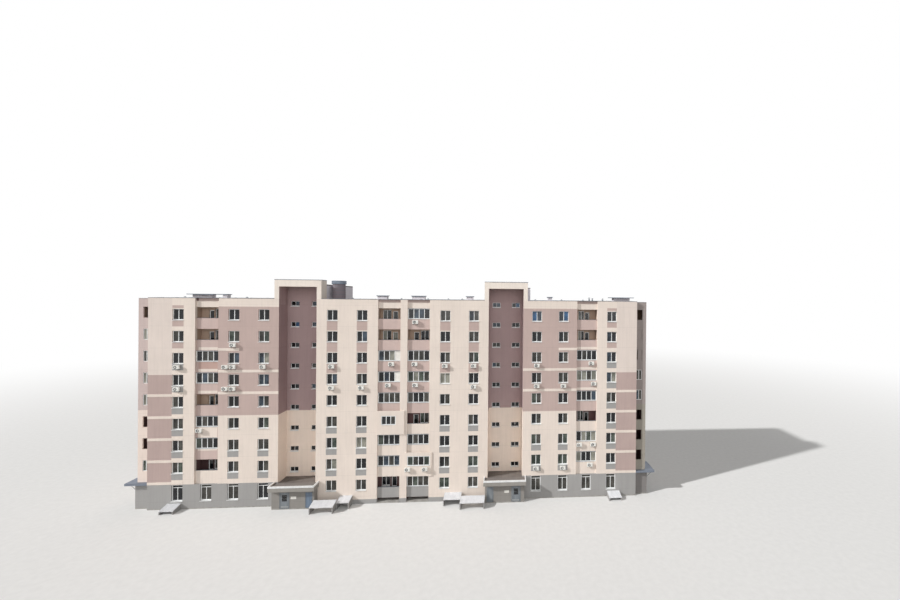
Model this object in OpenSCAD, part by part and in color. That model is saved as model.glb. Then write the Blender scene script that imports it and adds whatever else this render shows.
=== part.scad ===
// Long nine-storey apartment block, half real size, in millimetres.
// X runs along the front, Y into the building, Z up. The origin is under the middle of the plan.
// Distances called d are measured into the building from the front face.

/* [Storeys] */
// Height of one storey
storey_h = 1500; // [1440:5:1600]
// Number of storeys
storeys = 9; // [6:1:9]
// Height of the lowest living floor above the ground
first_floor_z = 525; // [500:5:560]
// Thickness of a floor slab
floor_t = 75; // [60:5:110]
// Thickness of the ground slab
base_t = 75; // [50:5:100]
// Height of the parapet above the roof
parapet_h = 425; // [300:5:500]

/* [Plan] */
// Half the length of the front between its corners
half_len = 16970; // [16700:10:17200]
// Depth of the block from front to back
block_d = 6000; // [5600:10:6600]
// Thickness of the outer walls
wall_t = 200; // [160:5:240]
// Half the width of the pier between the middle loggias
pier_half = 245; // [200:5:280]
// Distance from the middle to the outer side of a middle loggia
mid_loggia_x = 1800; // [1700:5:1900]
// Width of the wall field between an outer loggia and the corner
end_bay_w = 2995; // [2900:5:3100]
// Width of an outer loggia
outer_loggia_w = 1515; // [1450:5:1600]
// Depth of a loggia from the front face to its back wall
loggia_d = 600; // [500:5:700]
// Thickness of the side walls of the loggias and stair shafts
cheek_t = 120; // [80:5:150]
// Depth at which the rear floors begin
rear_d = 2400; // [2300:10:2600]

/* [Windows] */
// Width of a window opening
win_w = 725; // [600:5:800]
// Height of a window opening
win_h = 750; // [650:5:800]
// Height of a window sill above the floor
sill_up = 425; // [380:5:460]
// Height of a tall ground window
tall_win_h = 1100; // [950:5:1130]
// Distance of the top of a tall ground window below the other window heads
tall_win_drop = 50; // [30:5:60]
// Depth of the glass behind the outer face of its wall
glass_set = 90; // [60:5:110]
// Thickness of the glass
glass_t = 12; // [6:1:24]
// First window column, as a share of the middle field from the loggia
win_share_1 = 0.262; // [0.24:0.001:0.28]
// Second window column, as a share of the middle field from the recess
win_share_2 = 0.2525; // [0.24:0.0005:0.28]
// Third window column, as a share of the inner field from the recess
win_share_3 = 0.252; // [0.24:0.001:0.27]
// Fourth window column, as a share of the inner field from the loggia
win_share_4 = 0.251; // [0.24:0.001:0.27]
// Fifth window column, as a share of the end field from the loggia
win_share_5 = 0.366; // [0.35:0.001:0.45]
// Distance of the outer rear windows from the ends of their wall field
rear_win_side = 850; // [700:10:900]
// Distance between the middle rear windows
rear_win_pitch = 1850; // [1700:10:1900]

/* [Loggias] */
// Setback of a loggia parapet behind the front face
parapet_set = 125; // [80:5:160]
// Thickness of a loggia parapet
parapet_t = 60; // [40:5:80]
// Height of a loggia parapet above its floor
rail_up = 550; // [500:5:600]
// Depth to which a loggia parapet hangs below its floor
rail_down = 200; // [160:5:230]
// Width of a middle or end loggia's door
loggia_door_w = 375; // [320:5:420]
// Height of a loggia door
loggia_door_h = 1080; // [1000:5:1120]
// Width of the window beside a middle loggia's door
loggia_win_w = 600; // [500:5:620]
// Distance of a middle loggia's door from the middle of its loggia
loggia_door_in = 80; // [60:5:110]
// Distance of a middle loggia's window from the middle of its loggia
loggia_win_in = 20; // [10:5:40]
// Distance of an outer loggia's window from the inner side of its loggia
outer_win_in = 200; // [150:5:260]
// Width of an outer loggia's window
outer_win_w = 440; // [400:5:480]
// Width of the post between that window and its door
outer_post_w = 40; // [30:5:60]
// Width of an outer loggia's door
outer_door_w = 350; // [320:5:400]
// Thickness of the front of an enclosed balcony
enclosure_t = 60; // [40:5:80]
// Overlap of the left enclosed balcony onto the wall beside its loggia
enclosure_lap_left = 30; // [20:5:60]
// Overlap of the right enclosed balcony onto the wall beside its loggia
enclosure_lap_right = 210; // [150:5:250]
// Place of the inner side of both enclosed balconies, to the right of the middle
enclosure_x0 = 70; // [40:5:100]
// Distance that an enclosed balcony hangs below its floor
enclosure_down = 155; // [120:5:190]
// Distance that an enclosed balcony reaches above the floor over it
enclosure_up = 25; // [0:5:40]

/* [Stair towers] */
// Place of the inner side of a stair recess, as a share of half the length
recess_share = 0.353; // [0.35:0.001:0.357]
// Width of a stair recess
recess_w = 2510; // [2450:5:2560]
// Depth of a stair recess
recess_d = 1100; // [1000:5:1200]
// Thickness of the wall at the back of a stair recess
stair_wall_t = 150; // [120:5:180]
// Width of a leg of the portal over a recess
leg_w = 310; // [250:5:360]
// Depth of the portal over a recess
portal_d = 850; // [700:5:950]
// Height of the portal above the roof
portal_h = 1775; // [1650:5:1900]
// Height of the portal beam
portal_beam_h = 500; // [400:5:600]
// Height of the stair head above the roof
head_h = 1475; // [1400:5:1550]
// Distance of the machine room behind the front edge of the rear floors
machine_in = 120; // [60:5:250]
// Depth of a machine room from front to back
machine_d = 1380; // [1200:10:1700]
// Height of a machine room above the roof
machine_h = 1430; // [1350:5:1700]
// Overhang of the left machine room beyond its tower, towards the middle
machine_out_left = 685; // [500:5:1000]
// Overhang of the right machine room beyond its tower, away from the middle
machine_out_right = 325; // [250:5:1000]
// Width of a pair of stair windows
stair_win_w = 600; // [500:5:650]
// Height of a stair window
stair_win_h = 350; // [300:5:400]
// Distance between the two columns of stair windows
stair_win_gap = 1450; // [1300:5:1560]
// Height of the middle of a stair window above the floor beside it
stair_win_up = 75; // [0:5:120]
// Depth of a half landing
landing_d = 650; // [500:5:750]

/* [Porches] */
// Setback of the porch front, measured in front of the building
porch_out = 475; // [420:5:540]
// Thickness of the porch walls
porch_t = 100; // [80:5:120]
// Overlap of the porch walls onto the front beside the recess
porch_side = 150; // [120:5:200]
// Height of the underside of the canopy
canopy_z = 1325; // [1290:5:1400]
// Height of the canopy fascia
canopy_h = 275; // [200:5:300]
// Height of the raised rim on the canopy
rim_h = 100; // [60:5:120]
// Width of the raised rim on the canopy
rim_w = 60; // [40:5:80]
// Distance that a canopy stands out from the front
canopy_out = 775; // [700:5:850]
// Overhang of the canopy beside the porch walls
canopy_side = 100; // [60:5:120]
// Width of an entrance doorway
door_w = 600; // [560:5:640]
// Height of a doorway
door_h = 1050; // [1000:5:1100]
// Distance of the middle of the left entrance doorway from the outer side of its recess
door_in_left = 700; // [600:5:900]
// Distance of the middle of the right entrance doorway from the outer side of its recess
door_in_right = 450; // [360:5:800]
// Width of a bin room doorway
bin_door_w = 425; // [380:5:440]
// Distance of the middle of a bin room doorway from the inner side of its recess
bin_door_in = 210; // [190:5:300]
// Thickness of a door leaf
leaf_t = 26; // [20:2:32]
// Clearance round a door leaf
leaf_gap = 6; // [5:1:8]
// Width of the pane recess as a share of the doorway
pane_w_share = 0.56; // [0.4:0.02:0.7]
// Height of the lower edge of the pane recess as a share of the doorway
pane_z0_share = 0.45; // [0.4:0.01:0.55]
// Height of the upper edge of the pane recess as a share of the doorway
pane_z1_share = 0.88; // [0.8:0.01:0.92]
// Depth of the pane recess as a share of the leaf
pane_d_share = 0.3; // [0.2:0.05:0.4]
// Radius of a door pivot
pivot_r = 8; // [6:1:10]
// Running gap between a pivot and its leaf
pivot_gap = 0.3; // [0.2:0.1:0.5]

/* [End loggias] */
// Width of an end loggia
end_w = 785; // [700:5:1000]
// Setback of an end loggia behind the front face
end_d0 = 220; // [210:5:500]
// Length of an end loggia along the end wall
end_len = 1500; // [1400:5:1800]
// Thickness of the end loggia walls
end_t = 90; // [70:5:120]
// Width of the opening in the front of an end loggia
end_open_w = 455; // [400:5:520]
// Distance of that opening from the end wall
end_open_in = 30; // [20:5:60]
// Distance of the top of an end loggia stack below the parapet
end_drop = 50; // [20:5:80]
// Distance of an end loggia door before the middle of its loggia
end_door_in = 300; // [280:5:330]
// Distance of an end loggia window behind the middle of its loggia
end_win_in = 260; // [240:5:300]
// Width of an end loggia window
end_win_w = 450; // [380:5:480]
// Depth of the rear window column of an end wall, as a share of the block
end_win_share = 0.72; // [0.68:0.01:0.8]
// Extra width of the ground storey under an end loggia
end_step = 145; // [80:5:200]
// Distance that an end canopy stands out
end_canopy_w = 510; // [400:5:550]
// Thickness of an end canopy
end_canopy_t = 150; // [100:5:180]
// Distance of the rear edge of an end canopy before the rear of its loggia
end_canopy_in = 50; // [30:5:80]

/* [Awnings] */
// Distance from the middle to the inner side of the left inner awning
awning_left_x0 = 3460; // [3000:10:3600]
// Distance from the middle to the joint of the left inner and outer awnings
awning_left_x1 = 4300; // [4100:10:4400]
// Distance from the middle to the inner side of the right inner awning
awning_right_x0 = 2950; // [2850:10:3400]
// Distance from the middle to the joint of the right inner and outer awnings
awning_right_x1 = 4150; // [4000:10:4400]
// Distance of the left end awning from the corner
left_awning_in = 1290; // [1000:10:1400]
// Width of the left end awning
left_awning_w = 890; // [800:10:1400]
// Distance of the right end awning from the corner
right_awning_in = 1240; // [800:10:1400]
// Width of the right end awning
right_awning_w = 920; // [800:10:1250]
// Distance that an awning stands out
awning_p = 700; // [650:5:850]
// Overlap of an outer awning with the one beside it
awning_lap = 140; // [60:5:200]
// Thickness of an awning roof
awning_t = 45; // [30:5:60]
// Thickness of the awning side walls
awning_side_t = 60; // [50:5:80]
// Height of the middle awnings at the back
awning_z1 = 640; // [580:5:700]
// Height of the middle awnings at the front
awning_z0 = 460; // [400:5:520]
// Height of the end awnings at the back
low_awning_z1 = 420; // [380:5:480]
// Height of the end awnings at the front
low_awning_z0 = 240; // [200:5:300]

/* [Roof] */
// Thickness of the metal coping
coping_t = 20; // [12:1:30]
// Overhang of the coping past its wall
coping_lip = 15; // [10:1:25]
// Height of a vent shaft above the roof
vent_h = 675; // [560:5:720]
// Depth of a vent shaft
vent_w = 420; // [360:10:480]
// Thickness of a vent cap
vent_cap_t = 50; // [35:5:70]
// Overhang of a vent cap
vent_lip = 60; // [40:5:80]
// Overhang of the two broad vent caps
broad_lip = 250; // [150:10:280]
// Radius of the drum beside the left portal
drum_r = 440; // [400:10:460]
// Height of the drum above the roof, without its cap
drum_h = 1525; // [1400:5:1600]
// Thickness of the cap on the drum
drum_cap_t = 240; // [150:5:240]
// Overhang of the cap on the drum
drum_lip = 50; // [20:5:60]
// Distance of the middle of the drum from the portal beside it
drum_out = 560; // [540:10:700]
// Depth of the middle of the drum
drum_d = 1600; // [1300:10:1800]

/* [Cooling units] */
// Width of a cooling unit
unit_w = 400; // [360:5:440]
// Height of a cooling unit
unit_h = 270; // [230:5:300]
// Depth of a cooling unit
unit_d = 140; // [120:5:160]
// Gap between a cooling unit and the wall, bridged by its brackets
unit_gap = 30; // [20:5:50]
// Distance of a cooling unit below a window sill
unit_drop = 90; // [80:5:110]
// Distance between the two brackets of a cooling unit
bracket_pitch = 256; // [200:4:280]
// Distance of the second unit beside a left window from the middle of the window
second_unit_out = 500; // [460:10:600]
// Thickness of a bracket
bracket_t = 20; // [12:2:24]
// Height of a bracket
bracket_h = 60; // [50:5:80]

/* [Hidden] */

front_y = -block_d / 2;
roof_z = first_floor_z + storeys * storey_h;
top_z = roof_z + parapet_h;
head_z = first_floor_z + sill_up + win_h;
tall_win_z = head_z - tall_win_drop;
ground_top_z = head_z - tall_win_drop / 2;
rear_end = block_d - wall_t;
stair_back = recess_d + stair_wall_t;
recess_x0 = round(half_len * recess_share);
recess_x1 = recess_x0 + recess_w;
bin_door_x = recess_x0 + bin_door_in;
tower_x0 = recess_x0 - leg_w;
tower_x1 = recess_x1 + leg_w;
stair_mid = (recess_x0 + recess_x1) / 2;
outer_loggia_x1 = half_len - end_bay_w;
outer_loggia_x0 = outer_loggia_x1 - outer_loggia_w;
middle_w = recess_x0 - mid_loggia_x;
inner_w = outer_loggia_x0 - recess_x1;
win_x1 = mid_loggia_x + win_share_1 * middle_w;
win_x2 = recess_x0 - win_share_2 * middle_w;
win_x3 = recess_x1 + win_share_3 * inner_w;
win_x4 = outer_loggia_x0 - win_share_4 * inner_w;
win_x5 = outer_loggia_x1 + win_share_5 * end_bay_w;
machine_d0 = rear_d + machine_in;
machine_d1 = machine_d0 + machine_d;
head_wall_z = roof_z + head_h - floor_t;
porch_x0 = recess_x0 - porch_side;
porch_x1 = recess_x1 + porch_side;
door_z = base_t + door_h;
outer_loggia_mid = (outer_loggia_x0 + outer_loggia_x1) / 2;
landing_drop = storey_h / 2;
stair_win_z = first_floor_z + storey_h + stair_win_up - stair_win_h / 2;
end_x1 = half_len + end_w;
end_ground_x1 = end_x1 + end_step;
end_d1 = end_d0 + end_len;
cut = 20;

cream = [0.91, 0.855, 0.81];
rose = [0.765, 0.68, 0.65];
mauve = [0.48, 0.4, 0.385];
grey = [0.65, 0.64, 0.63];
pale_grey = [0.8, 0.81, 0.82];
dark_grey = [0.32, 0.33, 0.35];
glass_tint = [0.2, 0.25, 0.3, 0.6];
white = [0.93, 0.94, 0.95];
bitumen = [0.35, 0.34, 0.34];
steel_blue = [0.38, 0.44, 0.5];

// Storeys, counted from the ground, whose loggias are glazed: left outer, left middle,
// right middle and right outer stack.
glazed = [[2, 3, 5, 6], [1, 2, 4, 5, 6], [0, 2, 4, 5, 6, 8], [1, 2, 4, 5, 6]];

function floor_z(n) = first_floor_z + n * storey_h;

// A block between two places along the front, two depths and two heights.
module block(x0, x1, d0, d1, z0, z1)
    translate([x0, front_y + d0, z0]) cube([x1 - x0, d1 - d0, z1 - z0]);

module both_sides() {
    children();
    mirror([1, 0, 0]) children();
}

module on_side(side)
    mirror([side < 0 ? 1 : 0, 0, 0]) children();

// One column of plain window openings through a wall of the front or the back.
module window_column(x, d0, d1, rows)
    for (n = rows)
        block(x - win_w / 2, x + win_w / 2, d0, d1,
            floor_z(n) + sill_up, floor_z(n) + sill_up + win_h);

module front_field(x0, x1, z0, columns, rows)
    difference() {
        block(x0, x1, 0, wall_t, z0, top_z);
        for (x = columns) window_column(x, -cut, wall_t + cut, rows);
    }

module ground_slab()
    color(grey) {
        block(-half_len, half_len, 0, block_d, 0, base_t);
        both_sides() {
            block(porch_x0, porch_x1, -porch_out, 0, 0, base_t);
            block(half_len, end_ground_x1, end_d0, end_d1, 0, base_t);
        }
    }

module tall_window(x, d0, d1)
    block(x - win_w / 2, x + win_w / 2, d0, d1, tall_win_z - tall_win_h, tall_win_z);

module ground_storey_walls()
    color(grey)
    both_sides()
        difference() {
            block(recess_x1, half_len, 0, wall_t, base_t, ground_top_z);
            for (x = [win_x3, win_x4, outer_loggia_mid, win_x5]) tall_window(x, -cut, wall_t + cut);
        }

module front_walls_end()
    color(cream)
    both_sides()
    front_field(outer_loggia_x1, half_len, ground_top_z, [win_x5], [1 : storeys - 1]);

module front_walls_inner()
    color(rose)
    both_sides()
    front_field(recess_x1, outer_loggia_x0, ground_top_z, [win_x3, win_x4], [1 : storeys - 1]);

module front_walls_middle()
    color(cream)
    both_sides()
    front_field(mid_loggia_x, recess_x0, base_t, [win_x1, win_x2], [0 : storeys - 1]);

module middle_pier()
    color(cream) block(-pier_half, pier_half, 0, wall_t, base_t, top_z);

// The end wall has a door and a window onto its loggia and one more window column.
end_door_d = (end_d0 + end_d1) / 2 - end_door_in;
end_win_d = (end_d0 + end_d1) / 2 + end_win_in;
end_rear_win_d = block_d * end_win_share;
module end_wall_holes(x0, x1, n) {
    z = floor_z(n);
    if (n > 0) {
        block(x0, x1, end_door_d - loggia_door_w / 2, end_door_d + loggia_door_w / 2,
            z, z + loggia_door_h);
        block(x0, x1, end_win_d - end_win_w / 2, end_win_d + end_win_w / 2,
            z + sill_up, z + sill_up + win_h);
    }
    block(x0, x1, end_rear_win_d - win_w / 2, end_rear_win_d + win_w / 2,
        z + sill_up, z + sill_up + win_h);
}

// The end walls, and the outer side walls of the end loggias in front of them.
module end_walls()
    color(cream)
    both_sides() {
        difference() {
            block(half_len - wall_t, half_len, wall_t, rear_end, base_t, top_z);
            for (n = [0 : storeys - 1]) end_wall_holes(half_len - wall_t - cut, half_len + cut, n);
        }
        block(end_x1 - end_t, end_x1, end_d0 + end_t, end_d1 - end_t, ground_top_z, end_top_z);
    }

back_x = half_len / 3;
module back_field(x0, x1, columns)
    difference() {
        block(x0, x1, rear_end, block_d, base_t, top_z);
        for (x = columns) window_column(x, rear_end - cut, block_d + cut, [0 : storeys - 1]);
    }

back_outer_pitch = (half_len - back_x - 2 * rear_win_side) / 3;
back_outer_columns = [for (k = [0 : 3]) back_x + rear_win_side + k * back_outer_pitch];
back_middle_columns = [for (k = [-2.5 : 1 : 2.5]) k * rear_win_pitch];
module back_walls_outer()
    color(cream) both_sides() back_field(back_x, half_len, back_outer_columns);

module back_wall_middle() color(cream) back_field(-back_x, back_x, back_middle_columns);

module rear_floors()
    color(grey)
    for (n = [0 : storeys - 1])
        block(-half_len + wall_t, half_len - wall_t, rear_d, rear_end, floor_z(n) - floor_t, floor_z(n));

module bay_floor(z) {
    both_sides() {
        block(mid_loggia_x + cheek_t, recess_x0 - cheek_t, wall_t, rear_d, z - floor_t, z);
        block(recess_x1 + cheek_t, outer_loggia_x0 - cheek_t, wall_t, rear_d, z - floor_t, z);
        block(outer_loggia_x1 + cheek_t, half_len - wall_t, wall_t, rear_d, z - floor_t, z);
    }
}

module bay_floors()
    color(grey)
    for (n = [0 : storeys - 1]) bay_floor(floor_z(n));

module loggia_room_floors()
    for (n = [0 : storeys - 1]) {
        z = floor_z(n);
        block(-mid_loggia_x - cheek_t, mid_loggia_x + cheek_t, loggia_d + wall_t, rear_d, z - floor_t, z);
        both_sides()
            block(outer_loggia_x0 - cheek_t, outer_loggia_x1 + cheek_t,
                loggia_d + wall_t, rear_d, z - floor_t, z);
    }

module roof_rear()
    color(bitumen)
    block(-half_len + wall_t, half_len - wall_t, rear_d, rear_end, roof_z - floor_t, roof_z);

module roof_front()
    color(bitumen) {
        block(-recess_x0 + cheek_t, recess_x0 - cheek_t, wall_t, rear_d, roof_z - floor_t, roof_z);
        both_sides()
            block(recess_x1 + cheek_t, half_len - wall_t, wall_t, rear_d, roof_z - floor_t, roof_z);
    }

// Stair windows stand in two columns, with a doorway to the hall below them.
module stair_holes(d0, d1) {
    for (x = [stair_mid - stair_win_gap / 2, stair_mid + stair_win_gap / 2])
        for (n = [0 : storeys - 1])
            block(x - stair_win_w / 2, x + stair_win_w / 2, d0, d1,
                stair_win_z + n * storey_h, stair_win_z + n * storey_h + stair_win_h);
}

module stair_recess_walls()
    color(mauve)
    both_sides()
        difference() {
            block(recess_x0, recess_x1, recess_d, stair_back, door_z, head_wall_z);
            stair_holes(recess_d - cut, stair_back + cut);
        }

module stair_landings()
    color(grey)
    both_sides()
        for (n = [0 : storeys - 1])
            block(recess_x0, recess_x1, stair_back, stair_back + landing_d,
                floor_z(n) + landing_drop - floor_t, floor_z(n) + landing_drop);

module portal_legs()
    color(cream)
    both_sides()
        for (x = [tower_x0, recess_x1]) {
            block(x, x + leg_w, 0, portal_d, top_z, roof_z + portal_h);
            block(x, x + leg_w, wall_t, portal_d, roof_z, top_z);
        }

module portal_beams()
    color(cream)
    both_sides()
        block(recess_x0, recess_x1, 0, portal_d,
            roof_z + portal_h - portal_beam_h, roof_z + portal_h);

module stair_head_walls()
    color(grey)
    both_sides() {
        block(tower_x0, recess_x0, portal_d, machine_d0, roof_z, head_wall_z);
        block(recess_x1, tower_x1, portal_d, machine_d0, roof_z, head_wall_z);
    }

module machine_room_walls(x0, x1)
    difference() {
        block(x0, x1, machine_d0, machine_d1, roof_z, roof_z + machine_h - floor_t);
        block(x0 + cheek_t, x1 - cheek_t, machine_d0 + cheek_t, machine_d1 - cheek_t,
            roof_z - cut, roof_z + machine_h);
    }

left_machine_x = [-tower_x1, -tower_x0 + machine_out_left];
right_machine_x = [tower_x0, tower_x1 + machine_out_right];

module machine_rooms()
    color(grey) {
        machine_room_walls(left_machine_x[0], left_machine_x[1]);
        machine_room_walls(right_machine_x[0], right_machine_x[1]);
    }

// Flat roofs over the porches in the recesses, the stair heads and the machine rooms.
module tower_roofs()
    color(bitumen) {
        both_sides() {
            block(recess_x0, recess_x1, 0, recess_d, canopy_z, canopy_z + canopy_h);
            block(tower_x0, tower_x1, portal_d, machine_d0, head_wall_z, head_wall_z + floor_t);
        }
        for (x = [left_machine_x, right_machine_x])
            block(x[0], x[1], machine_d0, machine_d1,
                roof_z + machine_h - floor_t, roof_z + machine_h);
    }

// Walls across the block beside the recesses and loggias, and behind the end loggias.
module cross_walls()
    color(rose) {
        block(-pier_half, pier_half, wall_t, loggia_d, base_t, roof_z - floor_t);
        both_sides() {
            block(recess_x0 - cheek_t, recess_x0, wall_t, rear_d, base_t, roof_z);
            block(recess_x1, recess_x1 + cheek_t, wall_t, rear_d, base_t, roof_z);
            for (x = [mid_loggia_x, outer_loggia_x0 - cheek_t, outer_loggia_x1])
                block(x, x + cheek_t, wall_t, loggia_d + wall_t, base_t, roof_z - floor_t);
            block(half_len, end_x1, end_d1 - end_t, end_d1, ground_top_z, end_top_z);
        }
    }

// A loggia's back wall has a window and a door beside it on every storey, each given by where it
// begins along the front and by its width.
mid_loggia_mid = (pier_half + mid_loggia_x) / 2;
mid_loggia_win = [mid_loggia_mid + loggia_win_in, loggia_win_w];
mid_loggia_door = [mid_loggia_mid - loggia_door_in - loggia_door_w, loggia_door_w];
outer_loggia_win = [outer_loggia_x0 + outer_win_in, outer_win_w];
outer_loggia_door = [outer_loggia_win[0] + outer_win_w + outer_post_w, outer_door_w];

module loggia_wall_holes(win, door, rows, d0, d1)
    for (n = rows) {
        z = floor_z(n);
        block(win[0], win[0] + win[1], d0, d1, z + sill_up, z + sill_up + win_h);
        block(door[0], door[0] + door[1], d0, d1, z, z + loggia_door_h);
    }

module mid_loggia_holes(d0, d1)
    loggia_wall_holes(mid_loggia_win, mid_loggia_door, [0 : storeys - 1], d0, d1);

module outer_loggia_holes(d0, d1)
    loggia_wall_holes(outer_loggia_win, outer_loggia_door, [1 : storeys - 1], d0, d1);

module loggia_back_walls()
    color(mauve) {
        difference() {
            block(-mid_loggia_x, mid_loggia_x, loggia_d, loggia_d + wall_t, base_t, roof_z - floor_t);
            both_sides() mid_loggia_holes(loggia_d - cut, loggia_d + wall_t + cut);
        }
        both_sides()
            difference() {
                block(outer_loggia_x0, outer_loggia_x1, loggia_d, loggia_d + wall_t,
                    base_t, roof_z - floor_t);
                outer_loggia_holes(loggia_d - cut, loggia_d + wall_t + cut);
            }
    }

function stack_x0(s) = s == 0 || s == 3 ? outer_loggia_x0 : pier_half;
function stack_x1(s) = s == 0 || s == 3 ? outer_loggia_x1 : mid_loggia_x;
function stack_rows(s) = s == 0 || s == 3 ? [1 : storeys - 1] : [0 : storeys - 1];
module each_stack()
    for (s = [0 : 3])
        on_side(s < 2 ? -1 : 1) {
            $stack = s;
            children();
        }

module end_loggia_floors()
    for (n = [1 : storeys])
        block(half_len, end_x1 - end_t, end_d0 + end_t, end_d1 - end_t, floor_z(n) - floor_t, floor_z(n));

// Floors of the loggias, of the rooms behind them and of the end loggias.
module loggia_floors()
    color(grey) {
        each_stack()
            for (n = stack_rows($stack))
                block(stack_x0($stack), stack_x1($stack), parapet_set + parapet_t, loggia_d,
                    floor_z(n) - floor_t, floor_z(n));
        loggia_room_floors();
        both_sides() end_loggia_floors();
    }

function outer_stack() = $stack == 0 || $stack == 3;
function parapet_z0(n) = outer_stack() && n == 1 ? ground_top_z : floor_z(n) - rail_down;

module loggia_parapets()
    color(rose)
        each_stack() {
            for (n = stack_rows($stack))
                block(stack_x0($stack), stack_x1($stack), parapet_set, parapet_set + parapet_t,
                    parapet_z0(n), floor_z(n) + rail_up);
            block(stack_x0($stack), stack_x1($stack), parapet_set, wall_t,
                roof_z - rail_down, top_z);
        }

// Two enclosed balconies: sides and storey, then the sides of the window as shares of the width
// and its lower and upper edge as shares of the storey height.
enclosures = [
    [-mid_loggia_x - enclosure_lap_left, enclosure_x0, 3, [0.165, 0.693], [0.357, 0.787]],
    [enclosure_x0, mid_loggia_x + enclosure_lap_right, 1, [0.119, 0.933], [0.397, 0.857]]];
function enclosure_x(e, share) = e[0] + share * (e[1] - e[0]);
function enclosure_z(e, share) = floor_z(e[2]) + share * storey_h;
module enclosure_window(e, d0, d1)
    block(enclosure_x(e, e[3][0]), enclosure_x(e, e[3][1]), d0, d1,
        enclosure_z(e, e[4][0]), enclosure_z(e, e[4][1]));

module balcony_enclosures()
    color(cream)
    for (e = enclosures)
        difference() {
            block(e[0], e[1], -enclosure_t, 0,
                floor_z(e[2]) - enclosure_down, floor_z(e[2] + 1) + enclosure_up);
            enclosure_window(e, -enclosure_t - cut, cut);
        }

module loggia_glazing()
    color(glass_tint) {
        each_stack()
            for (n = glazed[$stack])
                if (n < storeys)
                    block(stack_x0($stack), stack_x1($stack), parapet_set + parapet_t / 2 - glass_t / 2,
                        parapet_set + parapet_t / 2 + glass_t / 2, floor_z(n) + rail_up,
                        floor_z(n + 1) - rail_down);
        for (e = enclosures)
            enclosure_window(e, -(enclosure_t + glass_t) / 2, -(enclosure_t - glass_t) / 2);
    }

end_top_z = top_z - end_drop;
module end_loggia_fronts()
    color(rose)
    both_sides()
        difference() {
            block(half_len, end_x1, end_d0, end_d0 + end_t, ground_top_z, end_top_z);
            for (n = [1 : storeys - 1])
                block(half_len + end_open_in, half_len + end_open_in + end_open_w,
                    end_d0 - cut, end_d0 + end_t + cut, floor_z(n) + rail_up, floor_z(n + 1) - rail_down);
        }

module end_ground_walls()
    color(grey)
    both_sides()
        difference() {
            block(half_len, end_ground_x1, end_d0, end_d1, base_t, ground_top_z);
            block(half_len - cut, end_ground_x1 - end_t, end_d0 + end_t, end_d1 - end_t,
                base_t - cut, ground_top_z - floor_t);
        }

// A canopy runs from the front round the end loggia, on top of its ground storey.
module end_canopies()
    color(steel_blue)
    both_sides() {
        block(half_len, end_ground_x1 + end_canopy_w, 0, end_d0,
            ground_top_z, ground_top_z + end_canopy_t);
        block(end_x1, end_ground_x1 + end_canopy_w, end_d0, end_d1 - end_canopy_in,
            ground_top_z, ground_top_z + end_canopy_t);
    }

function door_x(side) = recess_x1 - (side < 0 ? door_in_left : door_in_right);

// Walls beside the doorways of the porches and of the halls behind the recesses.
module doorway_walls()
    color(grey)
    for (side = [-1, 1])
        on_side(side) {
            block(recess_x0, stair_mid - door_w / 2, recess_d, stair_back, base_t, door_z);
            block(stair_mid + door_w / 2, recess_x1, recess_d, stair_back, base_t, door_z);
            block(porch_x0, bin_door_x - bin_door_w / 2, -porch_out, porch_t - porch_out, base_t, door_z);
            block(bin_door_x + bin_door_w / 2, door_x(side) - door_w / 2,
                -porch_out, porch_t - porch_out, base_t, door_z);
            block(door_x(side) + door_w / 2, porch_x1, -porch_out, porch_t - porch_out, base_t, door_z);
        }

module porch_side_walls()
    color(grey)
    both_sides() {
        block(porch_x0, porch_x0 + porch_t, porch_t - porch_out, 0, base_t, canopy_z);
        block(porch_x1 - porch_t, porch_x1, porch_t - porch_out, 0, base_t, canopy_z);
    }

module porch_beams()
    color(grey)
    both_sides()
        block(porch_x0, porch_x1, -porch_out, porch_t - porch_out, door_z, canopy_z);

module porch_canopies()
    color(pale_grey)
    both_sides()
        difference() {
            block(porch_x0 - canopy_side, porch_x1 + canopy_side, -canopy_out, 0,
                canopy_z, canopy_z + canopy_h + rim_h);
            block(porch_x0 - canopy_side + rim_w, porch_x1 + canopy_side - rim_w, rim_w - canopy_out, cut,
                canopy_z + canopy_h, canopy_z + canopy_h + rim_h + cut);
        }

leaf_axis_d = leaf_t / 2 - porch_out;
leaf_z0 = base_t + leaf_gap;
leaf_z1 = door_z - leaf_gap;

module pivots(x)
    translate([x, front_y + leaf_axis_d, 0]) {
        translate([0, 0, base_t]) cylinder(r = pivot_r, h = leaf_gap - pivot_gap, $fn = 24);
        translate([0, 0, leaf_z1 + pivot_gap]) cylinder(r = pivot_r, h = leaf_gap - pivot_gap, $fn = 24);
    }

function hinge_x(mid, width) = mid + width / 2 - leaf_gap - leaf_t / 2;

module door_pivots()
    color(dark_grey)
    for (side = [-1, 1])
        on_side(side) {
            pivots(hinge_x(door_x(side), door_w));
            pivots(hinge_x(bin_door_x, bin_door_w));
        }

// A leaf turns about the round edge at its hinge side.
module leaf(mid, width) {
    hinge = hinge_x(mid, width);
    translate([hinge, front_y + leaf_axis_d, leaf_z0]) cylinder(d = leaf_t, h = leaf_z1 - leaf_z0, $fn = 48);
    block(mid - width / 2 + leaf_gap, hinge, -porch_out, leaf_t - porch_out, leaf_z0, leaf_z1);
}

module entrance_leaf(side)
    on_side(side)
    difference() {
        leaf(door_x(side), door_w);
        block(door_x(side) - door_w * pane_w_share / 2, door_x(side) + door_w * pane_w_share / 2,
            -porch_out - cut, leaf_t * pane_d_share - porch_out,
            base_t + door_h * pane_z0_share, base_t + door_h * pane_z1_share);
    }

module entrance_door_left() color(grey) entrance_leaf(-1);
module entrance_door_right() color(grey) entrance_leaf(1);
module bin_door_left() color(steel_blue) on_side(-1) leaf(bin_door_x, bin_door_w);
module bin_door_right() color(steel_blue) leaf(bin_door_x, bin_door_w);

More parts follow.
